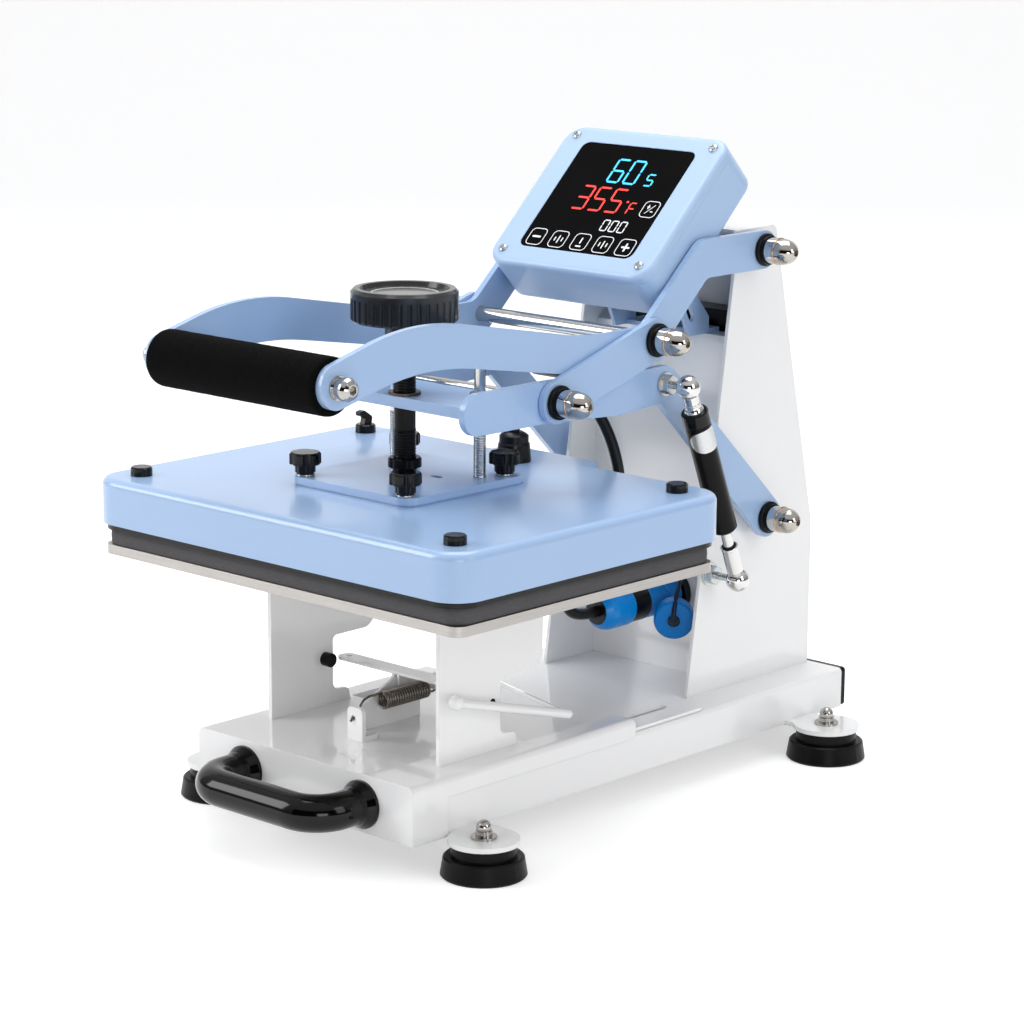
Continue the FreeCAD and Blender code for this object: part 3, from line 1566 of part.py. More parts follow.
def hold_down_strap():
    """Flat strap across the posts, its two ears and pin on the web, and the ball lever at its right end."""
    y, z = hold_pivot
    half_width = hold_strap_width / 2
    top = strap_z + hold_strap_thick
    strap = flat_plate(rectangle(-hold_strap_half, hold_strap_half, y - half_width, y + half_width, 5.0),
                       strap_z, top)
    strap = strap.cut(rod_z(-hold_strap_half + 7.0, y, strap_z - 1, top + 1, 2.0))
    ears = []
    gap = web_sheet / 2 + 0.3
    for x0 in (web_x - gap - 2.0, web_x + gap):
        ears.append(side_plate([(y - 4.0, z - 4.0, 3.9), (y + 4.0, z - 4.0, 3.9), (y + 4.0, strap_z + 1.0, 0),
                                (y - 4.0, strap_z + 1.0, 0)], x0, x0 + 2.0))
    pin = rod_x(hold_pivot, web_x - gap - 2.0, web_x + gap + 2.0, hold_pin_radius)
    loop_y, loop_z = loop_pin_point()
    loop_pin = rod_x((loop_y, loop_z), web_x + gap, spring_x + 4.0, loop_pin_radius)
    loop_arm = hull_plate((y, strap_z - 3.0), 3.0, (loop_y, loop_z), 3.0, web_x + gap, web_x + gap + 2.0)
    riser = box(hold_strap_half - 6.0, hold_strap_half - 4.0, y - half_width + 1, y + half_width - 1,
                strap_z, strap_z + 12.0)
    blade = lever_blade(V(hold_strap_half - 5.0, y, strap_z + 11.0))
    rear = V(lever_x, lever_rear[0], lever_rear[1])
    ball = V(lever_x, lever_ball[0], lever_ball[1])
    lever = rod(rear, ball, lever_rod_radius)
    end = Part.makeSphere(lever_rod_radius, rear)
    knob = Part.makeSphere(lever_ball_radius, ball)
    return united([strap, pin, loop_pin, loop_arm, riser, blade, lever, end, knob] + ears)


def loop_pin_point():
    centre_y, centre_z = eye_centre()
    return (centre_y + loop_pin_back, centre_z - eye_rise)


def lever_blade(start):
    """Flat tapered blade from the strap's riser out through the post's notch to the lever's rear end."""
    end = V(lever_x, lever_rear[0], lever_rear[1])
    way = end - start
    length = way.Length
    blade = flat_plate([(-5.0, 0, 2.0), (5.0, 0, 2.0), (3.0, length, 1.5), (-3.0, length, 1.5)], -1.0, 1.0)
    sideways = V(0, 0, 1).cross(way).normalize() * -1
    up = sideways.cross(way).normalize()
    turn = FreeCAD.Rotation(sideways, way, up, "YXZ")
    blade.Placement = FreeCAD.Placement(start, turn)
    return blade


def hold_down_spring():
    """The spring's outer shape as a plain bar, with its hook in the tab and its eye round the strap's pin."""
    rear = spring_front_y + spring_length
    bar = rod_y(spring_x, spring_z, spring_front_y, rear, spring_radius + spring_wire)
    hook_end = V(spring_x, tab_y + tab_sheet / 2 + 2.0, hook_height())
    through = rod(V(spring_x, tab_y - tab_sheet / 2 - 2.0, hook_height()), hook_end, spring_wire)
    rise = rod(hook_end, V(spring_x, spring_front_y + 1.0, spring_z), spring_wire)
    knuckle = Part.makeSphere(spring_wire, hook_end)
    middle = eye_centre()
    eye = rod_x(middle, spring_x - spring_wire, spring_x + spring_wire, spring_radius + spring_wire)
    eye = eye.cut(rod_x(middle, spring_x - 5, spring_x + 5, spring_radius - spring_wire))
    return united([bar, through, rise, knuckle, eye])


def main():
    os.makedirs("parts", exist_ok=True)

    save("base_channel", [base_channel()] + foot_straps())
    save("foot_cups", foot_cups())
    save("foot_bolts", foot_bolts())
    save("rear_panel", [rear_panel()])
    save("power_inlet", [power_inlet()])
    save("switch_rocker", [switch_rocker()])
    save("guide_pins", guide_pins())

    save("tower_sides", tower_sides())
    save("tower_partition", [tower_partition()])
    save("tower_back", [tower_back()])
    save("pivot_axles", [pivot_axle(handle_pivot), pivot_axle(arm_pivot)])
    save("pivot_washers", pivot_hardware((handle_pivot, arm_pivot), arm_outer_x, bush_on))
    save("pivot_nuts", pivot_hardware((handle_pivot, arm_pivot), arm_outer_x, nut_on))
    save("lower_ball_stud", [lower_ball_stud()])
    save("power_module", power_module())
    save("lead_socket", [lead_socket()])
    save("lead_plug", [lead_plug()])
    save("socket_cap", socket_cap())

    save("control_box_front", [control_box_front()])
    save("control_box_back", [control_box_back()])
    save("touch_screen", [touch_screen()])
    save("box_fasteners", box_fasteners())
    save("control_board", [control_board()])
    save("box_bracket", [box_bracket()])

    save("handle_arms", handle_arms())
    save("grip_tube", [grip_tube()])
    save("foam_grip", [foam_grip()])
    save("grip_bolts", grip_bolts())

    save("link_plates", link_plates())
    save("toggle_axle", toggle_axle())
    save("link_washers", pivot_hardware((toggle_pivot, yoke_pivot), link_outer_x, bush_on))
    save("link_nuts", pivot_hardware((toggle_pivot, yoke_pivot), link_outer_x, nut_on))

    save("arm_plates", arm_plates())
    save("yoke_plate", [yoke_plate()])
    save("yoke_bushes", yoke_bushes())
    save("arm_axles", arm_axles())
    save("upper_ball_stud", [upper_ball_stud()])
    save("gas_cylinder", [gas_cylinder()])
    save("gas_rod", [gas_rod()])

    save("platen_cover", [platen_cover()])
    save("heating_plate", [heating_plate()])
    save("platen_insulation", [platen_insulation()])
    save("pressure_plate", pressure_plate())
    save("thumb_knobs", thumb_knobs())
    save("corner_caps", corner_caps())
    save("guide_rods", guide_rods())
    save("lead_gland", [lead_gland()])
    save("platen_lead", [platen_lead()])
    save("spindle", [spindle()])
    save("pressure_knob", [pressure_knob()])

    save("carriage_shell", [carriage_shell()])
    save("tray_plate", [tray_plate()])
    save("front_handle", [front_handle()])
    save("posts", posts())
    save("post_thumb_screws", post_thumb_screws())
    save("lower_platen", [lower_platen()])
    save("silicone_pad", [silicone_pad()])
    save("hold_down_frame", hold_down_frame())
    save("hold_down_spring", [hold_down_spring()])
    save("hold_down_strap", [hold_down_strap()])


main()
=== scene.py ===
"""Looks of a clam-shell heat press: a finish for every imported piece, and its soft and fine parts."""
import math
import random

import bpy
from mathutils import Matrix, Vector


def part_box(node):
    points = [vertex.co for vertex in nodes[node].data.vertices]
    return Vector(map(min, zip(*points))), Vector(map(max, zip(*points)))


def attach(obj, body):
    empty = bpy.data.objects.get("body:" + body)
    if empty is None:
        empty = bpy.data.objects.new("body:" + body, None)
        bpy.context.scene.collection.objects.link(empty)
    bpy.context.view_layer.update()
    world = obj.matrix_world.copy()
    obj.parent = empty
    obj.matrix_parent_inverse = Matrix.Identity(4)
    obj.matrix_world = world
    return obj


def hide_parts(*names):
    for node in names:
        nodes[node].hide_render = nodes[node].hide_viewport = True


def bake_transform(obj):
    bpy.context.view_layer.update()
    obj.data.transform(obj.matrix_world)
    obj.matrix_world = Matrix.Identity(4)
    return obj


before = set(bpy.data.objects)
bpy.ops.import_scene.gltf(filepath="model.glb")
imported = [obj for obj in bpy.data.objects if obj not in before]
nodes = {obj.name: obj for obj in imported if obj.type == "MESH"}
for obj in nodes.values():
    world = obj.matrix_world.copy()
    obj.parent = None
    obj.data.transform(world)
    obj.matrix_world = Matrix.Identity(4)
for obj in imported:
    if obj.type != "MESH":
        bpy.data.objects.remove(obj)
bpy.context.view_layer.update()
MM = 0.001

# The photograph's camera, from the corners of the machine at its stated width, depth and height
IMAGE_WIDTH = 1024
IMAGE_HEIGHT = 1023
FOCAL_PIXELS = 3194.2
CENTRE_ROW = 548.1
CAMERA_PLACE = Vector((1.34588, -1.45737, 0.62139))
CAMERA_AZIMUTH = 42.648
CAMERA_ELEVATION = 13.207
CAMERA_ROLL = 0.3675

# Control box face: tilt from the horizontal, and its top edge's place
FACE_TILT = 43.66
FACE_TOP = Vector((0.0, 134.3, 411.94)) * MM
FACE_LENGTH = 118.2 * MM
GLASS_SKIN = -0.2 * MM

# Places on the machine in millimetres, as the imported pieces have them
SPINDLE_Y = -93.5
YOKE_TOP = 268.0
PLATE_TOP = 217.5
GUIDE_X = 36.0
GUIDE_Y = -65.0
GAS_UPPER = (94.0, 63.4, 263.6)
GAS_LOWER = (87.5, 125.5, 127.8)
PLUG_X = 10.0
PLUG_Z = 102.0

# Where one finish ends and the next begins on one piece, in metres
CAP_PLACE = Vector((38.5, 120.5, 94.5)) * MM
CAP_FACING = Vector((0.62, -0.77, -0.12)).normalized()
CAP_FRONT = 5.5 * MM
CAP_EDGE = 15.5 * MM
AXLE_SPLIT = 10 * MM
DISC_RADIUS = 25.8 * MM
DISC_HEIGHT = 329.9 * MM


# Camera

def make_camera():
    azimuth = math.radians(CAMERA_AZIMUTH)
    elevation = math.radians(CAMERA_ELEVATION)
    roll = math.radians(CAMERA_ROLL)
    ahead = Vector((-math.sin(azimuth) * math.cos(elevation), math.cos(azimuth) * math.cos(elevation),
                    -math.sin(elevation)))
    level = Vector((math.cos(azimuth), math.sin(azimuth), 0))
    upright = level.cross(ahead)
    right = level * math.cos(roll) + upright * math.sin(roll)
    above = upright * math.cos(roll) - level * math.sin(roll)
    lens = bpy.data.cameras.new("photo_camera")
    lens.sensor_fit = "AUTO"
    lens.sensor_width = 36.0
    lens.lens = FOCAL_PIXELS * lens.sensor_width / IMAGE_WIDTH
    lens.shift_y = (CENTRE_ROW - IMAGE_HEIGHT / 2) / IMAGE_WIDTH
    lens.clip_start = 0.1
    lens.clip_end = 50.0
    camera = bpy.data.objects.new("photo_camera", lens)
    turn = Matrix((right, above, -ahead)).transposed().to_4x4()
    camera.matrix_world = Matrix.Translation(CAMERA_PLACE) @ turn
    bpy.context.scene.collection.objects.link(camera)
    bpy.context.scene.camera = camera


make_camera()


# Shader maths

class Signal:
    """A socket that works in Python expressions; every operation adds one Math node."""

    def __init__(self, finish, socket):
        self.finish = finish
        self.socket = socket

    def maths(self, operation, first, second):
        return self.finish.add("ShaderNodeMath", {"operation": operation}, {0: first, 1: second})

    def __add__(self, other):
        return self.maths("ADD", self, other)

    def __rsub__(self, other):
        return self.maths("SUBTRACT", other, self)

    def __mul__(self, other):
        return self.maths("MULTIPLY", self, other)

    def above(self, other):
        return self.maths("GREATER_THAN", self, other)

    def larger(self, other):
        return self.maths("MAXIMUM", self, other)

    def size(self):
        return self.maths("ABSOLUTE", self, 0.0)


class Finish:
    """One material: its node tree, its Principled shader and the nodes that its recipe adds."""

    def __init__(self, name):
        self.material = bpy.data.materials.new(name)
        self.material.use_nodes = True
        self.tree = self.material.node_tree
        self.shader = self.tree.nodes["Principled BSDF"]

    def add(self, kind, settings=None, inputs=None, output=0):
        node = self.tree.nodes.new(kind)
        for key, value in (settings or {}).items():
            setattr(node, key, value)
        self.wire(node, inputs or {})
        return Signal(self, node.outputs[output])

    def wire(self, node, inputs):
        for key, value in inputs.items():
            if isinstance(value, Signal):
                self.tree.links.new(value.socket, node.inputs[key])
            else:
                node.inputs[key].default_value = value

    def set(self, **sockets):
        self.wire(self.shader, {key.replace("_", " "): value for key, value in sockets.items()})

    def place(self):
        return self.add("ShaderNodeTexCoord", output="Object")

    def ray(self, kind):
        return self.add("ShaderNodeLightPath", output=kind)

    def along(self, axis):
        """The place along x, y or z, in metres."""
        return self.add("ShaderNodeSeparateXYZ", {}, {"Vector": self.place()}, axis.upper())

    def noise(self, size, detail=2.0, stretch=(1, 1, 1), roughness=0.5):
        """Smooth noise whose features are about size metres across, in 0 to 1."""
        scale = tuple(s / size for s in stretch)
        spread = self.add("ShaderNodeMapping", {}, {"Vector": self.place(), "Scale": scale})
        return self.add("ShaderNodeTexNoise", {}, {"Vector": spread, "Scale": 1.0, "Detail": detail,
                                                   "Roughness": roughness})

    def cells(self, size):
        """The distance to the nearest of scattered points that lie about size metres apart."""
        return self.add("ShaderNodeTexVoronoi", {}, {"Vector": self.place(), "Scale": 1.0 / size}, "Distance")

    def between(self, mask, low, high):
        """The colour low where mask is 0 and high where it is 1."""
        return self.add("ShaderNodeMix", {"data_type": "RGBA"}, {"Factor": mask, 6: low, 7: high}, 2)

    def vector(self, operation, first, second, output="Vector"):
        return self.add("ShaderNodeVectorMath", {"operation": operation}, {0: first, 1: second}, output)

    def ramp(self, value, low, high):
        """0 below low and 1 above high, straight between."""
        return self.add("ShaderNodeMapRange", {"clamp": True},
                        {"Value": value, "From Min": low, "From Max": high, "To Min": 0.0, "To Max": 1.0})

    def rounded(self, radius):
        return self.add("ShaderNodeBevel", {"samples": 6}, {"Radius": radius})

    def relief(self, height, depth, strength=1.0, over=None):
        inputs = {"Height": height, "Distance": depth, "Strength": strength}
        if over is not None:
            inputs["Normal"] = over
        return self.add("ShaderNodeBump", {}, inputs)


def rgb(red, green, blue):
    """A linear colour from the 0 to 255 values that it shows on screen."""
    def linear(value):
        value = value / 255
        return value / 12.92 if value <= 0.04045 else ((value + 0.055) / 1.055) ** 2.4
    return (linear(red), linear(green), linear(blue), 1.0)


def shade(colour, factor):
    return (colour[0] * factor, colour[1] * factor, colour[2] * factor, 1.0)


# Finishes

def powder_coat(name, colour, roughness, edge=0.5 * MM, coat=0.2, coat_roughness=0.12):
    """Sprayed and baked paint: faint orange peel, fine grain and slightly uneven gloss."""
    finish = Finish(name)
    peel = finish.noise(1.9 * MM, 2.0)
    grain = finish.noise(0.35 * MM, 2.0)
    cloud = finish.noise(60 * MM, 3.0)
    tone = finish.between(cloud * 0.6 + grain * 0.4, shade(colour, 0.965), shade(colour, 1.03))
    normal = finish.relief(peel + grain * 0.25, 0.018 * MM, 0.7, finish.rounded(edge))
    finish.set(Base_Color=tone, Roughness=cloud * 0.10 + peel * 0.05 + (roughness - 0.075), Normal=normal)
    finish.set(Coat_Weight=coat, Coat_Roughness=coat_roughness, IOR=1.5)
    return finish.material


def polished_metal(name, colour, roughness, smudge, edge=0.4 * MM):
    """Plated steel with soft smudges and hairline polishing marks."""
    finish = Finish(name)
    smear = finish.noise(9 * MM, 4.0)
    hair = finish.noise(1.2 * MM, 3.0, (1, 1, 9))
    tone = finish.between(smear, shade(colour, 0.94), colour)
    finish.set(Base_Color=tone, Metallic=1.0, Roughness=smear * smudge + hair * (smudge * 0.5) + roughness,
               Normal=finish.relief(hair, 0.004 * MM, 0.35, finish.rounded(edge)))
    return finish.material


def zinc_plate(name):
    """Bright zinc: bluish and straw tints that drift over the metal, satin gloss."""
    finish = Finish(name)
    drift = finish.noise(5 * MM, 3.0)
    pits = finish.noise(0.5 * MM, 2.0)
    tone = finish.between(finish.ramp(drift, 0.35, 0.65), rgb(172, 186, 199), rgb(200, 197, 188))
    finish.set(Base_Color=tone, Metallic=1.0, Roughness=pits * 0.12 + 0.20,
               Normal=finish.relief(pits, 0.01 * MM, 0.5, finish.rounded(0.3 * MM)))
    return finish.material


def brushed_metal(name, colour, along, roughness=0.30):
    """Milled metal with long fine scratches along one axis or two."""
    finish = Finish(name)
    stretch = tuple(0.02 if axis in along else 1.0 for axis in "xyz")
    scratch = finish.noise(0.9 * MM, 5.0, stretch, 0.7)
    patch = finish.noise(25 * MM, 2.0)
    tone = finish.between(scratch, shade(colour, 0.66), shade(colour, 1.08))
    finish.set(Base_Color=tone, Metallic=1.0, Roughness=scratch * 0.22 + patch * 0.08 + (roughness - 0.1),
               Normal=finish.relief(scratch, 0.02 * MM, 0.5, finish.rounded(0.3 * MM)))
    return finish.material


def moulded(name, colour, roughness, texture=0.4 * MM, depth=0.03 * MM, coat=0.0, edge=0.5 * MM, shine=0.4):
    """Injection-moulded plastic or rubber: eroded texture, sink and flow in the gloss."""
    finish = Finish(name)
    erosion = finish.noise(texture, 3.0, roughness=0.6)
    flow = finish.noise(22 * MM, 2.0)
    tone = finish.between(flow * 0.5 + erosion * 0.5, shade(colour, 0.82), shade(colour, 1.15))
    finish.set(Base_Color=tone, Roughness=erosion * 0.10 + flow * 0.08 + (roughness - 0.09),
               Normal=finish.relief(erosion, depth, 0.6, finish.rounded(edge)))
    finish.set(Coat_Weight=coat, Coat_Roughness=0.06, IOR=1.5, Specular_IOR_Level=shine)
    return finish.material


def foam_skin(name):
    """Closed-cell foam with open pores of about half a millimetre, painted shade in the pores, and a dusty
    bloom.
    """
    finish = Finish(name)
    pores = finish.cells(0.75 * MM)
    lumps = finish.cells(1.9 * MM)
    fine = finish.noise(0.3 * MM, 3.0)
    pit = finish.ramp(pores, 0.15, 0.55)
    # The pores are painted darker than the skin between them: painted shade in the pits.
    tone = finish.between(pit * 0.7 + fine * 0.3, rgb(1, 1, 1), rgb(13, 13, 13))
    finish.set(Base_Color=tone, Roughness=fine * 0.12 + 0.80,
               Normal=finish.relief(pit + lumps * 0.6 + fine * 0.3, 0.30 * MM, 0.75))
    finish.set(Specular_IOR_Level=0.06, IOR=1.42)
    return finish.material


def sponge_skin(name):
    """Silicone sponge sheet: pale flecks in dark grey with painted shade in its bubbles, soft cut edge with
    faint saw marks.
    """
    finish = Finish(name)
    bubbles = finish.cells(0.6 * MM)
    saw = finish.noise(0.5 * MM, 3.0, (0.08, 0.08, 1.0))
    dust = finish.noise(14 * MM, 4.0)
    # Each bubble is painted darker in its sunk middle: painted shade in the bubbles.
    tone = finish.between(bubbles * 0.35 + saw * 0.4 + dust * 0.25, rgb(60, 59, 60), rgb(100, 98, 100))
    finish.set(Base_Color=tone, Roughness=dust * 0.12 + 0.66,
               Normal=finish.relief(bubbles * 0.5 + saw, 0.06 * MM, 0.6))
    finish.set(IOR=1.41, Specular_IOR_Level=0.2)
    return finish.material


def black_glass(name):
    """Dark display glass, with a breath of haze in its gloss."""
    finish = Finish(name)
    haze = finish.noise(18 * MM, 3.0)
    dust = finish.noise(0.5 * MM, 2.0)
    finish.set(Base_Color=finish.between(haze, rgb(3, 3, 4), rgb(8, 8, 9)),
               Roughness=haze * 0.05 + finish.ramp(dust, 0.70, 0.78) * 0.12 + 0.05, IOR=1.52,
               Specular_IOR_Level=0.04)
    return finish.material


def lit(name, colour, strength):
    """Light behind a printed mask: a little brighter in the middle of each patch of the grain."""
    finish = Finish(name)
    glow = finish.noise(1.1 * MM, 2.0)
    finish.set(Base_Color=shade(colour, 0.35), Roughness=0.35,
               Emission_Color=finish.between(glow, shade(colour, 0.88), colour), Emission_Strength=strength)
    return finish.material


def banded_chrome(name, starts, colours):
    """Plated nuts in bands outward along x: a band starts at each place and takes the next colour."""
    finish = Finish(name)
    outward = finish.along("x").size()
    smear = finish.noise(7 * MM, 4.0)
    tone = colours[0]
    for start, colour in zip(starts, colours[1:]):
        tone = finish.between(outward.above(start), tone, colour)
    tone = finish.between(smear * 0.12, tone, (0.2, 0.2, 0.2, 1))
    finish.set(Base_Color=tone, Metallic=1.0, Roughness=smear * 0.06 + 0.05, Normal=finish.rounded(0.4 * MM))
    return finish.material


def cap_and_strap(name, cap_colour, strap_colour):
    """Dust cap: its disc in its own colour, and its strap and button, before and above the disc, black."""
    finish = Finish(name)
    from_cap = finish.vector("SUBTRACT", finish.place(), CAP_PLACE)
    ahead = finish.vector("DOT_PRODUCT", from_cap, CAP_FACING, "Value")
    away = finish.vector("LENGTH", from_cap, (0, 0, 0), "Value")
    strap = ahead.above(CAP_FRONT).larger(away.above(CAP_EDGE))
    flow = finish.noise(9 * MM, 3.0)
    tone = finish.between(strap, cap_colour, strap_colour)
    finish.set(Base_Color=finish.between(flow * 0.2, tone, shade(cap_colour, 0.5)),
               Roughness=flow * 0.1 + 0.24, Normal=finish.rounded(0.6 * MM), Specular_IOR_Level=0.25)
    return finish.material


def tie_and_lift(name, plate_colour, enamel_colour):
    """The arm's axles: the thin tie rod in front plated, the lift axle behind it and its sleeve black."""
    finish = Finish(name)
    rear = finish.along("y").above(AXLE_SPLIT)
    smear = finish.noise(9 * MM, 4.0)
    tone = finish.between(rear, plate_colour, enamel_colour)
    finish.set(Base_Color=finish.between(smear * 0.2, tone, shade(enamel_colour, 2.0)), Metallic=1.0 - rear,
               Roughness=smear * 0.08 + 0.12, Normal=finish.rounded(0.4 * MM), Specular_IOR_Level=0.12)
    return finish.material


def dished_knob(name, skirt_colour, dish_colour):
    """Ribbed black skirt and rim; the floor of the dish is a satin metal disc."""
    finish = Finish(name)
    from_axis = finish.vector("SUBTRACT", finish.place(), (0.0, SPINDLE_Y * MM, 0.0))
    level = finish.vector("MULTIPLY", from_axis, (1.0, 1.0, 0.0))
    out = finish.vector("LENGTH", level, (0, 0, 0), "Value")
    disc = (1.0 - out.above(DISC_RADIUS)) * finish.along("z").above(DISC_HEIGHT)
    erosion = finish.noise(0.35 * MM, 3.0, roughness=0.6)
    flow = finish.noise(22 * MM, 2.0)
    skirt = finish.between(flow * 0.5 + erosion * 0.5, shade(skirt_colour, 0.82), shade(skirt_colour, 1.15))
    dish = finish.between(flow, shade(dish_colour, 0.8), dish_colour)
    finish.set(Base_Color=finish.between(disc, skirt, dish), Metallic=disc,
               Roughness=erosion * 0.08 + flow * 0.08 + 0.18,
               Normal=finish.relief(erosion, 0.015 * MM, 0.6, finish.rounded(0.5 * MM)))
    finish.set(Coat_Weight=0.3, Coat_Roughness=0.06, IOR=1.5, Specular_IOR_Level=0.3)
    return finish.material


def circuit_board(name):
    finish = Finish(name)
    tracks = finish.add("ShaderNodeTexBrick", {"offset": 0.37}, {
        "Vector": finish.place(), "Scale": 160.0, "Mortar Size": 0.02, "Color1": rgb(16, 84, 46),
        "Color2": rgb(20, 96, 52), "Mortar": rgb(52, 132, 70)}, "Color")
    finish.set(Base_Color=tracks, Roughness=finish.noise(3 * MM) * 0.2 + 0.25)
    return finish.material


def fibre_blanket(name):
    finish = Finish(name)
    strands = finish.noise(0.8 * MM, 5.0, (0.2, 1, 1), 0.7)
    finish.set(Base_Color=finish.between(strands, rgb(196, 190, 172), rgb(238, 234, 222)), Roughness=0.95,
               Normal=finish.relief(strands, 0.5 * MM, 0.8))
    return finish.material


SKY_BLUE = rgb(159, 188, 225)
SOFT_WHITE = rgb(243, 243, 243)

blue_coat = powder_coat("sky_blue_coat", SKY_BLUE, 0.32, coat=0.5)
white_coat = powder_coat("white_coat", SOFT_WHITE, 0.24, coat=0.7, coat_roughness=0.04)
blue_case = powder_coat("box_blue", rgb(170, 197, 230), 0.40, 0.9 * MM, 0.3)
chrome = polished_metal("chrome_plate", (0.70, 0.69, 0.68, 1), 0.05, 0.05)
dark_chrome = polished_metal("dark_chrome", (0.47, 0.45, 0.43, 1), 0.06, 0.05)
rod_chrome = polished_metal("hard_chrome_rod", (0.60, 0.59, 0.57, 1), 0.10, 0.06)
zinc = zinc_plate("bright_zinc")
ZINC = rgb(196, 200, 204)
WARM_RING = rgb(206, 178, 150)
DOME = rgb(184, 178, 171)
end_nuts = banded_chrome("end_nuts", (86.6 * MM, 87.8 * MM), (ZINC, WARM_RING, DOME))
toggle_nuts = banded_chrome("toggle_nuts", (91.2 * MM, 92.4 * MM), (ZINC, WARM_RING, DOME))
edge_metal = brushed_metal("milled_platen", rgb(188, 184, 180), "xy")
heater_metal = moulded("coated_platen", rgb(4, 4, 4), 0.3, shine=0.3)
label_metal = polished_metal("label_metal", (0.62, 0.63, 0.64, 1), 0.16, 0.14)
dark_bronze = polished_metal("oiled_bronze", (0.10, 0.08, 0.06, 1), 0.25, 0.1)
black_enamel = moulded("black_enamel", rgb(6, 6, 7), 0.18, 0.8 * MM, 0.008 * MM, 0.04, 0.4 * MM, 0.12)
spring_wire = polished_metal("oiled_spring_wire", (0.20, 0.18, 0.16, 1), 0.20, 0.08, 0.1 * MM)
gloss_black = moulded("gloss_black_plastic", rgb(4, 4, 4), 0.12, 1.5 * MM, 0.01 * MM, 0.22, 0.8 * MM, 0.18)
satin_black = moulded("satin_black_plastic", rgb(8, 8, 9), 0.34, shine=0.14)
knob_black = dished_knob("knob_black", rgb(34, 35, 38), rgb(150, 149, 148))
axle_pair = tie_and_lift("axle_pair", (0.60, 0.59, 0.57, 1), rgb(6, 6, 7))
cup_rubber = moulded("cup_rubber", rgb(5, 5, 6), 0.38, 0.5 * MM, 0.03 * MM, 0.06, shine=0.12)
lead_rubber = moulded("lead_rubber", rgb(8, 8, 8), 0.32, 0.4 * MM, 0.02 * MM, 0.1, shine=0.25)
bright_blue = moulded("bright_blue_plastic", rgb(0, 131, 214), 0.28, 0.6 * MM, 0.012 * MM, 0.08,
                      0.6 * MM, 0.25)
cap_blue = cap_and_strap("cap_blue", rgb(0, 124, 207), rgb(8, 8, 8))
foam = foam_skin("grip_foam")
sponge = sponge_skin("silicone_sponge")
glass = black_glass("display_glass")
cyan_light = lit("cyan_light", (0.05, 0.62, 0.95, 1), 1.25)
red_light = lit("red_light", (0.95, 0.045, 0.03, 1), 1.15)
white_light = lit("white_light", (0.80, 0.82, 0.84, 1), 1.0)
board_green = circuit_board("circuit_board")
blanket = fibre_blanket("fibre_blanket")

FINISH_OF = {
    blue_coat: ["handle_arms", "link_plates", "arm_plates", "yoke_plate", "platen_cover", "pressure_plate",
                "box_bracket"],
    blue_case: ["control_box_front", "control_box_back"],
    white_coat: ["base_channel", "tower_sides", "tower_partition", "tower_back", "carriage_shell",
                 "tray_plate", "posts", "hold_down_frame", "hold_down_strap"],
    chrome: ["gas_rod"],
    dark_chrome: ["foot_bolts", "grip_bolts"],
    end_nuts: ["pivot_nuts"],
    toggle_nuts: ["link_nuts"],
    rod_chrome: ["toggle_axle", "guide_rods"],
    zinc: ["guide_pins", "pivot_axles", "lower_ball_stud", "upper_ball_stud", "box_fasteners",
           "grip_tube"],
    edge_metal: ["lower_platen"],
    heater_metal: ["heating_plate"],
    dark_bronze: ["yoke_bushes"],
    black_enamel: ["gas_cylinder", "spindle"],
    axle_pair: ["arm_axles"],
    spring_wire: ["hold_down_spring"],
    gloss_black: ["power_inlet", "switch_rocker", "lead_socket", "front_handle", "corner_caps",
                  "thumb_knobs"],
    satin_black: ["rear_panel", "pivot_washers", "link_washers", "power_module", "post_thumb_screws"],
    knob_black: ["pressure_knob"],
    cup_rubber: ["foot_cups", "silicone_pad", "foam_grip"],
    lead_rubber: ["lead_gland", "platen_lead"],
    bright_blue: ["lead_plug"],
    cap_blue: ["socket_cap"],
    glass: ["touch_screen"],
    board_green: ["control_board"],
    blanket: ["platen_insulation"],
}


def dress_nodes():
    for material, names in FINISH_OF.items():
        for name in names:
            mesh = nodes[name].data
            mesh.materials.clear()
            mesh.materials.append(material)


dress_nodes()


# Mesh tools; sizes in metres

def new_piece(name, mesh, material, smooth=True, angle=35):
    piece = bpy.data.objects.new(name, mesh)
    bpy.context.scene.collection.objects.link(piece)
    mesh.materials.append(material)
    if smooth:
        for polygon in mesh.polygons:
            polygon.use_smooth = True
        mesh.set_sharp_from_angle(angle=math.radians(angle))
    return piece


def mesh_from(name, vertices, faces):
    mesh = bpy.data.meshes.new(name)
    mesh.from_pydata([tuple(v) for v in vertices], [], faces)
    mesh.update()
    return mesh


def facing(axis):
    return Vector((0, 0, 1)).rotation_difference(Vector(axis).normalized()).to_matrix().to_4x4()


def stand(mesh, base, axis):
    mesh.transform(Matrix.Translation(Vector(base)) @ facing(axis))
    mesh.update()
    return mesh


def lathe(name, profile, base, axis=(0, 0, 1), sides=64):
    """A turned mesh from (radius, height) points; a radius of 0 closes an end."""
    vertices = []
    rings = []
    for radius, height in profile:
        if radius < 1e-9:
            rings.append([len(vertices)])
            vertices.append(Vector((0, 0, height)))
            continue
        rings.append(list(range(len(vertices), len(vertices) + sides)))
        for k in range(sides):
            angle = 2 * math.pi * k / sides
            vertices.append(Vector((radius * math.cos(angle), radius * math.sin(angle), height)))
    faces = []
    for lower, upper in zip(rings, rings[1:]):
        for k in range(sides):
            n = (k + 1) % sides
            if len(lower) == 1:
                faces.append((lower[0], upper[n], upper[k]))
            elif len(upper) == 1:
                faces.append((lower[k], lower[n], upper[0]))
            else:
                faces.append((lower[k], lower[n], upper[n], upper[k]))
    if len(rings[0]) > 1 and len(rings[-1]) > 1:
        for k in range(sides):
            n = (k + 1) % sides
            faces.append((rings[-1][k], rings[-1][n], rings[0][n], rings[0][k]))
    return stand(mesh_from(name, vertices, faces), base, axis)


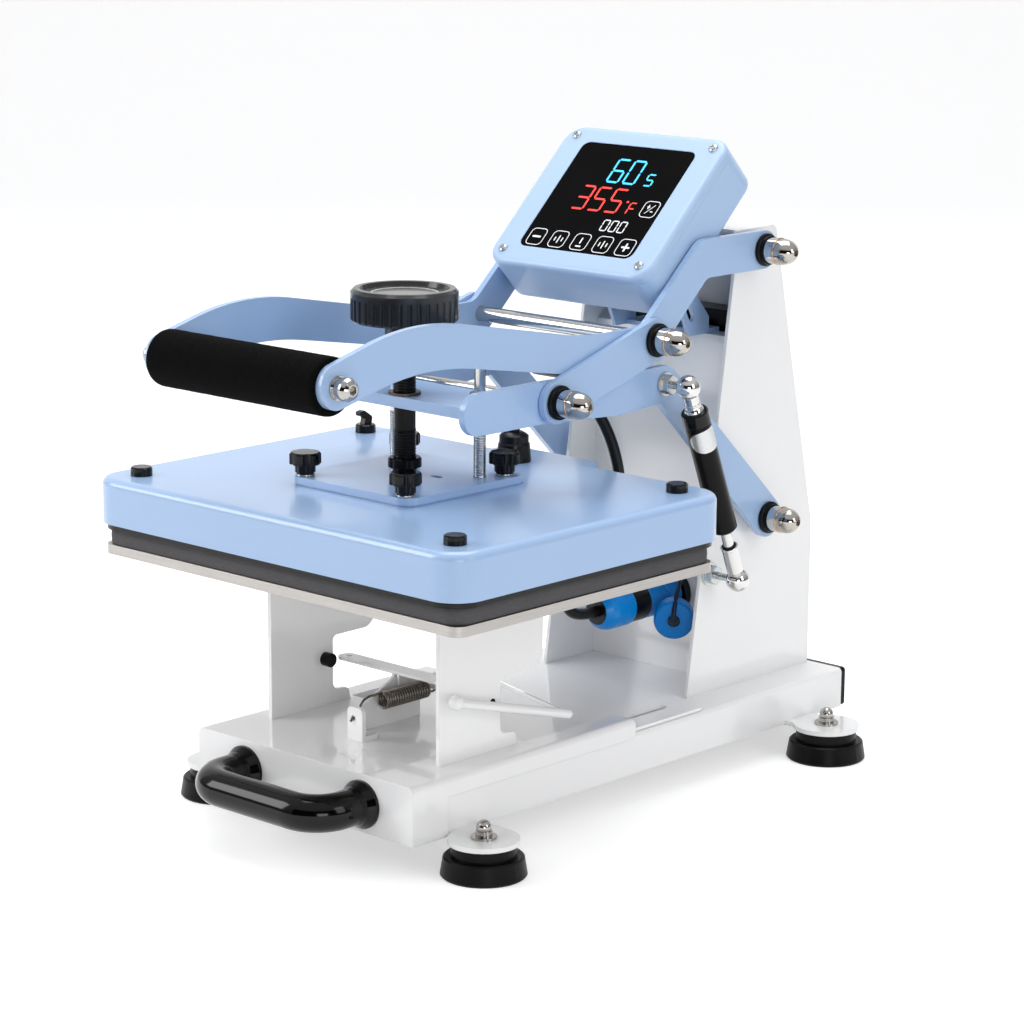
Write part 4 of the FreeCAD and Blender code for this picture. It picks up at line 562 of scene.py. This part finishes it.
def round_corners(profile, radius, steps=5):
    """The profile with each inner corner rounded."""
    points = [Vector(p) for p in profile]
    result = [points[0]]
    for before, here, after in zip(points, points[1:], points[2:]):
        reach = min(radius, (before - here).length / 2, (after - here).length / 2)
        start = here + (before - here).normalized() * reach
        end = here + (after - here).normalized() * reach
        for k in range(steps + 1):
            t = k / steps
            result.append(start * (1 - t) ** 2 + here * 2 * t * (1 - t) + end * t ** 2)
    result.append(points[-1])
    return [tuple(p) for p in result]


def thread(name, base, axis, radius, length, pitch, depth, sides=32):
    """A threaded rod: rings whose radius follows the helix, closed at both ends."""
    per_turn = 6
    rows = max(int(length / pitch * per_turn), 2)
    vertices = [Vector((0, 0, 0))]
    for row in range(rows + 1):
        height = length * row / rows
        fade = min(1.0, row / per_turn, (rows - row) / per_turn)
        for k in range(sides):
            phase = (height / pitch + k / sides) % 1.0
            ridge = abs(phase * 2 - 1)
            r = radius - depth * (1 - min(1.0, ridge * 1.25)) * fade
            angle = 2 * math.pi * k / sides
            vertices.append(Vector((r * math.cos(angle), r * math.sin(angle), height)))
    vertices.append(Vector((0, 0, length)))
    faces = []
    for k in range(sides):
        n = (k + 1) % sides
        faces.append((0, 1 + n, 1 + k))
        top = 1 + rows * sides
        faces.append((top + k, top + n, len(vertices) - 1))
        for row in range(rows):
            a = 1 + row * sides
            faces.append((a + k, a + n, a + sides + n, a + sides + k))
    return stand(mesh_from(name, vertices, faces), base, axis)


def spline_points(name, route, resolution=10):
    """Points read along the order 3 spline that a route of control points makes."""
    curve = bpy.data.curves.new(name, "CURVE")
    curve.dimensions = "3D"
    line = curve.splines.new("NURBS")
    line.points.add(len(route) - 1)
    for point, place in zip(line.points, route):
        point.co = (*place, 1.0)
    line.order_u = 3
    line.use_endpoint_u = True
    line.resolution_u = resolution
    guide = bpy.data.objects.new(name, curve)
    bpy.context.scene.collection.objects.link(guide)
    bpy.context.view_layer.update()
    mesh = bpy.data.meshes.new_from_object(guide)
    points = [v.co.copy() for v in mesh.vertices]
    bpy.data.objects.remove(guide)
    bpy.data.meshes.remove(mesh)
    return points


def tube(name, points, radius, sides=24):
    """A closed round tube along points, its rings carried without twist."""
    vertices = []
    way = (points[1] - points[0]).normalized()
    side = way.orthogonal().normalized()
    last = len(points) - 1
    for i, point in enumerate(points):
        ahead = (points[min(i + 1, last)] - points[max(i - 1, 0)]).normalized()
        side = (side - ahead * side.dot(ahead)).normalized()
        across = ahead.cross(side)
        for k in range(sides):
            angle = 2 * math.pi * k / sides
            vertices.append(point + (side * math.cos(angle) + across * math.sin(angle)) * radius)
    faces = []
    for i in range(last):
        for k in range(sides):
            n = (k + 1) % sides
            faces.append((i * sides + k, i * sides + n, (i + 1) * sides + n, (i + 1) * sides + k))
    faces.append(tuple(reversed(range(sides))))
    faces.append(tuple(range(last * sides, (last + 1) * sides)))
    return mesh_from(name, vertices, faces)


# The heated platen's lead, from its gland to its plug

LEAD_ROUTE = [
    (0, 5, 231.1), (0, 5, 241.1), (4.6, 10.8, 253.5), (14, 22.2, 259), (26.2, 37.3, 257.6),
    (34.5, 48.5, 240.5), (39.5, 57.5, 217), (40.5, 63, 191), (35, 60.5, 168), (26.5, 49.5, 149),
    (17.9, 38.8, 133), (11.6, 42.1, 111.2), (10, 57, 102), (10, 75, 102),
]
LEAD_RADIUS = 3.7 * MM


def make_lead():
    route = [Vector(p) * MM for p in LEAD_ROUTE]
    points = spline_points("lead_guide", route)
    lead = new_piece("lead", tube("lead", points, LEAD_RADIUS), lead_rubber, angle=60)
    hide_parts("platen_lead")
    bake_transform(lead)


make_lead()


# Foam grip

def make_grip():
    low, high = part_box("foam_grip")
    radius = (high.z - low.z) / 2
    centre = (low + high) / 2
    half = (high.x - low.x) / 2
    bore = 9.3 * MM
    shoulder = 2.6 * MM
    pulled = 0.6 * MM
    unevenness = 0.12
    profile = [(bore, 0), (radius - pulled, 0), (radius, shoulder)]
    steps = 60
    random.seed(4)
    for k in range(1, steps):
        height = shoulder + (2 * half - 2 * shoulder) * k / steps
        profile.append((radius - random.uniform(0, unevenness) * MM, height))
    profile += [(radius, 2 * half - shoulder), (radius - pulled, 2 * half), (bore, 2 * half)]
    mesh = lathe("foam_sleeve", round_corners(profile, 1.6 * MM, 3), (centre.x - half, centre.y, centre.z),
                 (1, 0, 0), 96)
    grip = new_piece("foam_sleeve", mesh, foam, angle=50)
    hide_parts("foam_grip")
    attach(grip, "handle")


make_grip()


# Silicone pad

def make_pad():
    low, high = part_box("silicone_pad")
    inset = 0.25 * MM
    corner = 12 * MM
    edge = 1.3 * MM
    steps = 8
    outline = []
    for cx, cy, start in ((high.x, high.y, 0), (low.x, high.y, 90), (low.x, low.y, 180),
                          (high.x, low.y, 270)):
        sx = -1 if cx > 0 else 1
        sy = -1 if cy > (low.y + high.y) / 2 else 1
        for k in range(steps + 1):
            angle = math.radians(start + 90 * k / steps)
            outline.append(Vector((cx + sx * (corner + inset) + corner * math.cos(angle),
                                   cy + sy * (corner + inset) + corner * math.sin(angle), 0)))
    middle = (low + high) / 2
    layers = [(0.0, edge), (edge * 0.3, edge * 0.3), (edge, 0.0), ((high.z - low.z) / 2, -0.2 * MM),
              (high.z - low.z - edge, 0.0), (high.z - low.z - edge * 0.3, edge * 0.3), (high.z - low.z, edge)]
    vertices = []
    for height, pulled in layers:
        for point in outline:
            way = Vector((point.x - middle.x, point.y - middle.y, 0)).normalized()
            vertices.append(Vector((point.x, point.y, low.z + height)) - way * pulled)
    count = len(outline)
    faces = []
    for i in range(len(layers) - 1):
        for k in range(count):
            n = (k + 1) % count
            faces.append((i * count + k, i * count + n, (i + 1) * count + n, (i + 1) * count + k))
    faces.append(tuple(reversed(range(count))))
    faces.append(tuple(range((len(layers) - 1) * count, len(layers) * count)))
    pad = new_piece("sponge_pad", mesh_from("sponge_pad", vertices, faces), sponge, angle=40)
    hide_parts("silicone_pad")
    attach(pad, "carriage")


make_pad()


# Wound hold-down spring: hook in the tab, close turns, and an eye round the strap's pin

SPRING_X = -3.0
SPRING_Z = 77.0
SPRING_START = -110.8
SPRING_TURNS = 18
SPRING_PITCH = 2.15
SPRING_COIL = 5.05
SPRING_WIRE = 0.8
TAB_Y = -134.5
TAB_HOLE_Z = 71.0
EYE_CENTRE = (-66.2, 79.0)


def spring_points():
    hook = [(-3.6, -1.8), (-2.4, -0.5), (0, 0), (2.2, 0.8), (3.6, 3.6), (5.0, 7.0), (8.0, 9.6), (12.5, 10.8),
            (17.5, 11.0), (21.5, 11.05)]
    points = [Vector((SPRING_X, TAB_Y + ahead, TAB_HOLE_Z + up)) for ahead, up in hook]
    per_turn = 20
    for k in range(SPRING_TURNS * per_turn + 1):
        turn = k / per_turn
        angle = math.pi / 2 - 2 * math.pi * turn
        points.append(Vector((SPRING_X + SPRING_COIL * math.cos(angle),
                              SPRING_START + SPRING_PITCH * turn,
                              SPRING_Z + SPRING_COIL * math.sin(angle))))
    eye_y, eye_z = EYE_CENTRE
    for k in range(1, 19):
        angle = math.radians(150 - 18 * k)
        points.append(Vector((SPRING_X, eye_y + SPRING_COIL * math.cos(angle),
                              eye_z + SPRING_COIL * math.sin(angle))))
    return [p * MM for p in points]


def make_spring():
    mesh = tube("wound_spring", spring_points(), SPRING_WIRE * MM, 10)
    spring = new_piece("wound_spring", mesh, spring_wire, angle=60)
    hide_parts("hold_down_spring")
    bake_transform(spring)


make_spring()


# Zinc spacers under the four thumb knobs

def make_knob_feet():
    bore = 4.0
    radius = 5.9
    thick = 1.3
    profile = round_corners([(bore, 0), (radius, 0), (radius, thick), (bore, thick)], 0.3, 2)
    height = (PLATE_TOP + 0.05) * MM
    for k, (x, y) in enumerate([(x, y) for x in (-43.0, 43.0) for y in (-136.5, -50.0)]):
        mesh = lathe("knob_foot", [(a * MM, b * MM) for a, b in profile], (x * MM, y * MM, height))
        foot = new_piece("knob_foot_%d" % (k + 1), mesh, zinc)
        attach(foot, "platen")


make_knob_feet()


# Display: lit segments and button outlines, drawn flat on the face and then tilted with it

def face_frame():
    tilt = Matrix.Rotation(math.radians(FACE_TILT), 4, "X")
    middle = FACE_TOP - tilt @ Vector((0, FACE_LENGTH / 2, 0))
    return Matrix.Translation(middle) @ tilt


SEGMENTS = {"0": "abcdef", "3": "abgcd", "5": "afgcd", "6": "afgedc", "S": "afgcd", "F": "afge"}
SKIN = 0.06 * MM


def extrude_outline(vertices, faces, outline, low, high):
    first = len(vertices)
    count = len(outline)
    vertices.extend(Vector((x, y, low)) for x, y in outline)
    vertices.extend(Vector((x, y, high)) for x, y in outline)
    faces.append(tuple(first + k for k in reversed(range(count))))
    faces.append(tuple(first + count + k for k in range(count)))
    for k in range(count):
        n = (k + 1) % count
        faces.append((first + k, first + n, first + count + n, first + count + k))


def bar(x0, y0, x1, y1, width):
    """A long six-cornered bar between two points."""
    way = Vector((x1 - x0, y1 - y0))
    length = way.length
    way.normalize()
    side = Vector((-way.y, way.x)) * (width / 2)
    tip = min(width / 2, length / 3)
    gap = width * 0.14
    a = Vector((x0, y0)) + way * gap
    b = Vector((x1, y1)) - way * gap
    return [tuple(a), tuple(a + way * tip - side), tuple(b - way * tip - side), tuple(b),
            tuple(b - way * tip + side), tuple(a + way * tip + side)]


def digit_bars(letter, left, top, wide, tall, width):
    """Bars of one seven-segment figure, in millimetres right of and below the face's top middle."""
    right = left + wide
    middle = top + tall / 2
    low = top + tall
    ends = {"a": (left, top, right, top), "b": (right, top, right, middle), "c": (right, middle, right, low),
            "d": (left, low, right, low), "e": (left, middle, left, low), "f": (left, top, left, middle),
            "g": (left, middle, right, middle)}
    return [bar(*ends[name], width) for name in SEGMENTS[letter]]


def ring_outline(left, top, wide, tall, radius, width):
    """Outer and inner rounded rectangles of a button's outline."""
    loops = []
    for inset in (0.0, width):
        loop = []
        r = radius - inset
        for cx, cy, start in ((left + wide - radius, top + tall - radius, 0),
                              (left + radius, top + tall - radius, 90),
                              (left + radius, top + radius, 180), (left + wide - radius, top + radius, 270)):
            for k in range(7):
                angle = math.radians(start + 15 * k)
                loop.append((cx + r * math.cos(angle), cy + r * math.sin(angle)))
        loops.append(loop)
    return loops


def face_place(point):
    """From millimetres right of and below the face's top middle to the face's own metres."""
    return point[0] * MM, FACE_LENGTH / 2 - point[1] * MM


def face_piece(name, outlines, rings, material):
    low = GLASS_SKIN
    high = GLASS_SKIN + SKIN
    vertices = []
    faces = []
    for outline in outlines:
        extrude_outline(vertices, faces, [face_place(p) for p in reversed(outline)], low, high)
    for outer, inner in rings:
        first = len(vertices)
        count = len(outer)
        for height in (low, high):
            vertices.extend(Vector((*face_place(p), height)) for p in outer)
            vertices.extend(Vector((*face_place(p), height)) for p in inner)
        for k in range(count):
            n = (k + 1) % count
            o0, i0, o1, i1 = first, first + count, first + 2 * count, first + 3 * count
            faces.append((o1 + n, o1 + k, i1 + k, i1 + n))
            faces.append((o0 + k, o0 + n, i0 + n, i0 + k))
            faces.append((o0 + n, o0 + k, o1 + k, o1 + n))
            faces.append((i0 + k, i0 + n, i1 + n, i1 + k))
    mesh = mesh_from(name, vertices, faces)
    mesh.transform(face_frame())
    piece = new_piece(name, mesh, material, smooth=False)
    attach(piece, "root")


def cross_marks(x, y, reach, width):
    """Two bars that cross, as a plus sign has them."""
    return [bar(x - reach, y, x + reach, y, width), bar(x, y - reach, x, y + reach, width)]


def wave_marks(x, y):
    """Three upright bars, the middle one longer."""
    marks = []
    for dx in (-3.0, 0.0, 3.0):
        half = 3.4 - abs(dx) * 0.5
        marks.append(bar(x + dx, y - half, x + dx, y + half, 0.9))
    return marks


def unit_marks(x):
    """A plus over a slash over a minus, for the button that swaps the unit."""
    return [bar(x - 3.4, 61.6, x - 0.6, 61.6, 0.8), bar(x - 2.0, 59.6, x - 2.0, 63.6, 0.8),
            bar(x + 0.8, 65.2, x + 3.6, 65.2, 0.8), bar(x - 2.6, 67.2, x + 2.8, 59.4, 0.5)]


def make_display():
    """The face as the photograph lights it; rows and columns in millimetres from the face's top middle."""
    time_row, heat_row, count_row, button_row = 26.0, 50.2, 75.8, 95.4
    wide, tall, thick = 9.4, 19.0, 1.55
    cyan = []
    for letter, left in (("6", -9.6), ("0", 4.0)):
        cyan += digit_bars(letter, left, time_row, wide, tall, thick)
    cyan += digit_bars("S", 21.6, time_row + 9.8, 5.8, 9.2, 1.2)
    face_piece("time_digits", cyan, [], cyan_light)
    red = []
    for letter, left in (("3", -24.2), ("5", -10.4), ("5", 3.6)):
        red += digit_bars(letter, left, heat_row, wide + 0.2, tall, thick)
    red += digit_bars("F", 21.6, heat_row + 9.8, 4.8, 9.2, 1.1)
    degree = 0.95
    red.append([(18.2 + degree * math.cos(math.radians(a)), 59.6 + degree * math.sin(math.radians(a)))
                for a in range(0, 360, 30)])
    face_piece("heat_digits", red, [], red_light)
    white = []
    for left in (9.6, 16.8, 24.0):
        white += digit_bars("0", left, count_row, 4.8, 8.6, 0.85)
    minus, wave, press, wave_again, plus = [1.0 + 18.9 * k for k in (-2, -1, 0, 1, 2)]
    unit = 39.0
    white += [bar(minus - 4.0, button_row, minus + 4.0, button_row, 1.5)]
    white += cross_marks(plus, button_row, 3.8, 1.4)
    white += wave_marks(wave, button_row) + wave_marks(wave_again, button_row)
    white += [bar(press, button_row - 3.8, press, button_row + 1.8, 1.1),
              bar(press - 2.6, button_row + 3.6, press + 2.6, button_row + 3.6, 1.1)]
    white += unit_marks(unit)
    rings = [ring_outline(middle - 6.7, button_row - 6.9, 13.4, 13.8, 3.4, 0.55)
             for middle in (minus, wave, press, wave_again, plus)]
    rings.append(ring_outline(unit - 6.4, 56.6, 12.8, 13.6, 3.4, 0.55))
    face_piece("button_marks", white, rings, white_light)


make_display()


# Knob: pale ring in the floor of its dish

def make_knob_ring():
    low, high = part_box("pressure_knob")
    radius = (high.x - low.x) / 2
    dish = high.z - 3.0 * MM
    sunk = 0.02 * MM
    raised = 0.18 * MM
    inner = radius * 0.60
    outer = radius * 0.635
    ring = round_corners([(inner, 0), (inner, raised), (outer, raised), (outer, 0)], 0.05 * MM, 2)
    mesh = lathe("knob_ring", ring, (0, SPINDLE_Y * MM, dish - sunk), sides=96)
    piece = new_piece("knob_ring", mesh, white_coat)
    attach(piece, "spindle")


make_knob_ring()


# Threads: over the spindle above the yoke, at its foot, and on the guide rods below the yoke

def threaded(name, base, radius, length, pitch, depth, sides, material, body):
    """A thread that stands on base; its measures are in millimetres."""
    place = tuple(v * MM for v in base)
    mesh = thread(name, place, (0, 0, 1), radius * MM, length * MM, pitch * MM, depth * MM, sides)
    piece = new_piece(name, mesh, material, angle=70)
    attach(piece, body)


def make_threads():
    screw = {"radius": 7.05, "pitch": 1.7, "depth": 0.7, "sides": 48, "material": black_enamel,
             "body": "spindle"}
    guide = {"radius": 3.95, "pitch": 1.5, "depth": 0.55, "sides": 36, "material": zinc, "body": "platen"}
    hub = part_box("pressure_knob")[0].z / MM
    threaded("spindle_thread", (0, SPINDLE_Y, YOKE_TOP + 2.2), length=hub - YOKE_TOP - 2.4, **screw)
    threaded("spindle_foot_thread", (0, SPINDLE_Y, PLATE_TOP + 11.8), length=17.0, **screw)
    low = PLATE_TOP + 0.1
    high = 249.3
    for side, x in (("left", -GUIDE_X), ("right", GUIDE_X)):
        threaded("guide_thread_" + side, (x, GUIDE_Y, low), length=high - low, **guide)


make_threads()


# Gas spring: plated head and neck, collar, bare label plate, the lip of the rod's sleeve, and a thin black
# ring at the sleeve's mouth that is painted shadow

def gas_line():
    upper = Vector(GAS_UPPER) * MM
    lower = Vector(GAS_LOWER) * MM
    return upper, (lower - upper).normalized()


def gas_turned(name, profile, start, material, body):
    """A turned piece on the gas spring's line, start millimetres below its upper ball."""
    upper, way = gas_line()
    mesh = lathe(name, [(r * MM, h * MM) for r, h in profile], upper + way * (start * MM), way, 72)
    piece = new_piece(name, mesh, material)
    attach(piece, body)


def make_gas_label():
    """Bare metal plate with rounded ends, bent round the cylinder."""
    upper, way = gas_line()
    outward = Vector((0.98, -0.19, 0))
    outward = (outward - way * outward.dot(way)).normalized()
    across = way.cross(outward)
    middle, half_tall, half_turn = 37.0, 7.9, math.radians(92)
    end_roundness = 2.6
    back, face = 8.45, 8.72
    columns, rows = 48, 12
    vertices = []
    for raised in (back, face):
        for i in range(columns + 1):
            side = i / columns * 2 - 1
            reach = half_tall * math.sqrt(1 - abs(side) ** end_roundness) + 0.2
            angle = side * half_turn
            for j in range(rows + 1):
                height = middle + reach * (j / rows * 2 - 1)
                radial = outward * math.cos(angle) + across * math.sin(angle)
                vertices.append(upper + (way * height + radial * raised) * MM)
    wide = rows + 1
    layer = (columns + 1) * wide
    faces = []
    for i in range(columns):
        for j in range(rows):
            a = i * wide + j
            faces.append((a, a + 1, a + wide + 1, a + wide))
            faces.append((layer + a + wide, layer + a + wide + 1, layer + a + 1, layer + a))
    rim = [i * wide for i in range(columns + 1)] + [columns * wide + j for j in range(1, wide)]
    rim += [i * wide + rows for i in reversed(range(columns))] + [j for j in reversed(range(1, rows))]
    for k, here in enumerate(rim):
        after = rim[(k + 1) % len(rim)]
        faces.append((here, here + layer, after + layer, after))
    label = new_piece("gas_label", mesh_from("gas_label", vertices, faces), label_metal, angle=50)
    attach(label, "gas_cylinder")


def make_gas_trim():
    head = 7.85
    ball = [(head * math.sin(math.radians(a)), -head * math.cos(math.radians(a))) for a in range(0, 141, 7)]
    neck = [(5.05, 7.0), (5.05, 11.2), (5.45, 11.5), (5.45, 12.5), (5.05, 12.8), (5.05, 14.4), (6.0, 15.6),
            (6.4, 17.0), (0, 17.0)]
    gas_turned("gas_head", ball + neck, 0.0, chrome, "gas_cylinder")
    collar = [(5.2, 0), (7.9, 0), (8.75, 0.9), (8.8, 8.6), (8.5, 9.0), (5.2, 9.0)]
    gas_turned("gas_collar", collar, 17.2, gloss_black, "gas_cylinder")
    lip = [(3.55, 0), (5.5, 0), (5.75, 0.3), (5.75, 1.5), (5.45, 1.8), (5.45, 2.3), (5.0, 2.3), (3.55, 0.2)]
    gas_turned("rod_sleeve_lip", lip, 122.2, chrome, "gas_rod")
    # A thin black ring round the rod at the sleeve's mouth: painted shadow of the sleeve's opening.
    painted_shadow_ring = [(3.55, 0), (4.5, 0), (4.7, 0.2), (4.7, 0.6), (3.55, 0.6)]
    gas_turned("rod_sleeve_painted_shadow", painted_shadow_ring, 121.6, satin_black, "gas_rod")
    make_gas_label()


make_gas_trim()


# Plug: black body and sleeves between the blue rings

def make_plug_sleeves():
    """Each sleeve runs from front to back along y, with its bore and its radius."""
    sleeves = {"plug_body_sleeve": (89.0, 117.0, 12.45, 12.75), "plug_grommet": (74.7, 77.2, 3.8, 9.0)}
    for name, (front, back, bore, radius) in sleeves.items():
        length = back - front
        profile = [(bore, 0), (radius - 0.5, 0), (radius, 0.6), (radius, length - 0.6),
                   (radius - 0.5, length), (bore, length)]
        base = (PLUG_X * MM, front * MM, PLUG_Z * MM)
        mesh = lathe(name, [(r * MM, h * MM) for r, h in profile], base, (0, 1, 0), 64)
        sleeve = new_piece(name, mesh, lead_rubber)
        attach(sleeve, "root")


make_plug_sleeves()


# Floor, backdrop and light

FLOOR_HALF = 6.0
WALL_START = 3.2
WALL_BEND = 1.2
WALL_TOP = 5.0


def make_stage():
    """Pale floor that bends up into a wall: white where seen, mirrored or through glass, shadow kept."""
    finish = Finish("pale_floor")
    seen = finish.ray("Is Camera Ray").larger(finish.ray("Is Glossy Ray"))
    seen = seen.larger(finish.ray("Is Transmission Ray"))
    cloud = finish.noise(0.6, 2.0)
    finish.set(Base_Color=finish.between(cloud, (0.76, 0.76, 0.76, 1), (0.78, 0.78, 0.78, 1)), Roughness=0.9,
               Emission_Color=finish.between(seen, (0, 0, 0, 1), (0.48, 0.48, 0.48, 1)),
               Emission_Strength=1.0)
    rows = [(-FLOOR_HALF, 0.0), (WALL_START, 0.0)]
    for k in range(1, 13):
        angle = math.radians(90 * k / 12)
        rows.append((WALL_START + WALL_BEND * math.sin(angle), WALL_BEND - WALL_BEND * math.cos(angle)))
    rows.append((WALL_START + WALL_BEND, WALL_TOP))
    vertices = []
    for y, z in rows:
        vertices.append(Vector((-FLOOR_HALF, y, z)))
        vertices.append(Vector((FLOOR_HALF, y, z)))
    faces = [(2 * i, 2 * i + 1, 2 * i + 3, 2 * i + 2) for i in range(len(rows) - 1)]
    floor = new_piece("floor", mesh_from("floor", vertices, faces), finish.material)
    floor.rotation_euler = (0, 0, math.radians(CAMERA_AZIMUTH))
    make_round_wall(finish.material)


def curved_screen(name, radius, first, last, low, high, material):
    """An upright band from one angle to another, in steps of 5 degrees."""
    vertices = []
    for degrees in range(first, last + 1, 5):
        angle = math.radians(degrees)
        for height in (low, high):
            vertices.append(Vector((radius * math.cos(angle), radius * math.sin(angle), height)))
    count = len(vertices) // 2 - 1
    faces = [(2 * k, 2 * k + 2, 2 * k + 3, 2 * k + 1) for k in range(count)]
    screen = new_piece(name, mesh_from(name, vertices, faces), material)
    screen.visible_diffuse = False
    screen.visible_shadow = False
    screen.visible_transmission = False
    return screen


def make_round_wall(material):
    """A round wall, seen by the camera alone, that gives every side a pale background."""
    wall = curved_screen("round_wall", 5.9, 0, 360, 0.0, WALL_TOP, material)
    wall.visible_glossy = False


def make_black_screen():
    """A curved black screen behind the camera that shows only in glossy surfaces."""
    finish = Finish("black_screen")
    finish.set(Base_Color=finish.between(finish.noise(0.5), (0.01, 0.01, 0.01, 1), (0.015, 0.015, 0.015, 1)),
               Roughness=0.9, Specular_IOR_Level=0.0)
    screen = curved_screen("black_screen", 3.0, -100, 20, 0.05, 1.7, finish.material)
    screen.visible_camera = False


def area_light(name, place, target, size, power):
    light = bpy.data.lights.new(name, "AREA")
    light.shape = "RECTANGLE"
    light.size, light.size_y = size
    light.energy = power
    lamp = bpy.data.objects.new(name, light)
    lamp.location = place
    lamp.rotation_euler = (Vector(target) - Vector(place)).to_track_quat("-Z", "Y").to_euler()
    bpy.context.scene.collection.objects.link(lamp)


def make_light():
    world = bpy.data.worlds.new("studio")
    bpy.context.scene.world = world
    world.use_nodes = True
    tree = world.node_tree
    place = tree.nodes.new("ShaderNodeTexCoord")
    parts = tree.nodes.new("ShaderNodeSeparateXYZ")
    ramp = tree.nodes.new("ShaderNodeValToRGB")
    low, high = ramp.color_ramp.elements
    low.position, low.color = 0.02, (0.30, 0.30, 0.31, 1)
    high.position, high.color = 0.75, (0.95, 0.96, 0.98, 1)
    tree.links.new(place.outputs["Generated"], parts.inputs["Vector"])
    tree.links.new(parts.outputs["Z"], ramp.inputs["Fac"])
    tree.links.new(ramp.outputs["Color"], tree.nodes["Background"].inputs["Color"])
    tree.nodes["Background"].inputs["Strength"].default_value = 0.75
    centre = (0, 0, 0.2)
    area_light("top_light", (-0.3, 0.3, 1.9), centre, (1.5, 1.5), 22)
    area_light("left_light", (-1.5, -1.6, 1.1), centre, (0.9, 1.3), 22)
    area_light("right_light", (1.9, 0.1, 0.9), centre, (0.7, 1.2), 7)
    area_light("low_light", (1.7, -1.3, 0.35), (0, 0, 0.08), (0.8, 0.5), 6)


make_stage()
make_black_screen()
make_light()

scene = bpy.context.scene
scene.view_settings.view_transform = "Standard"
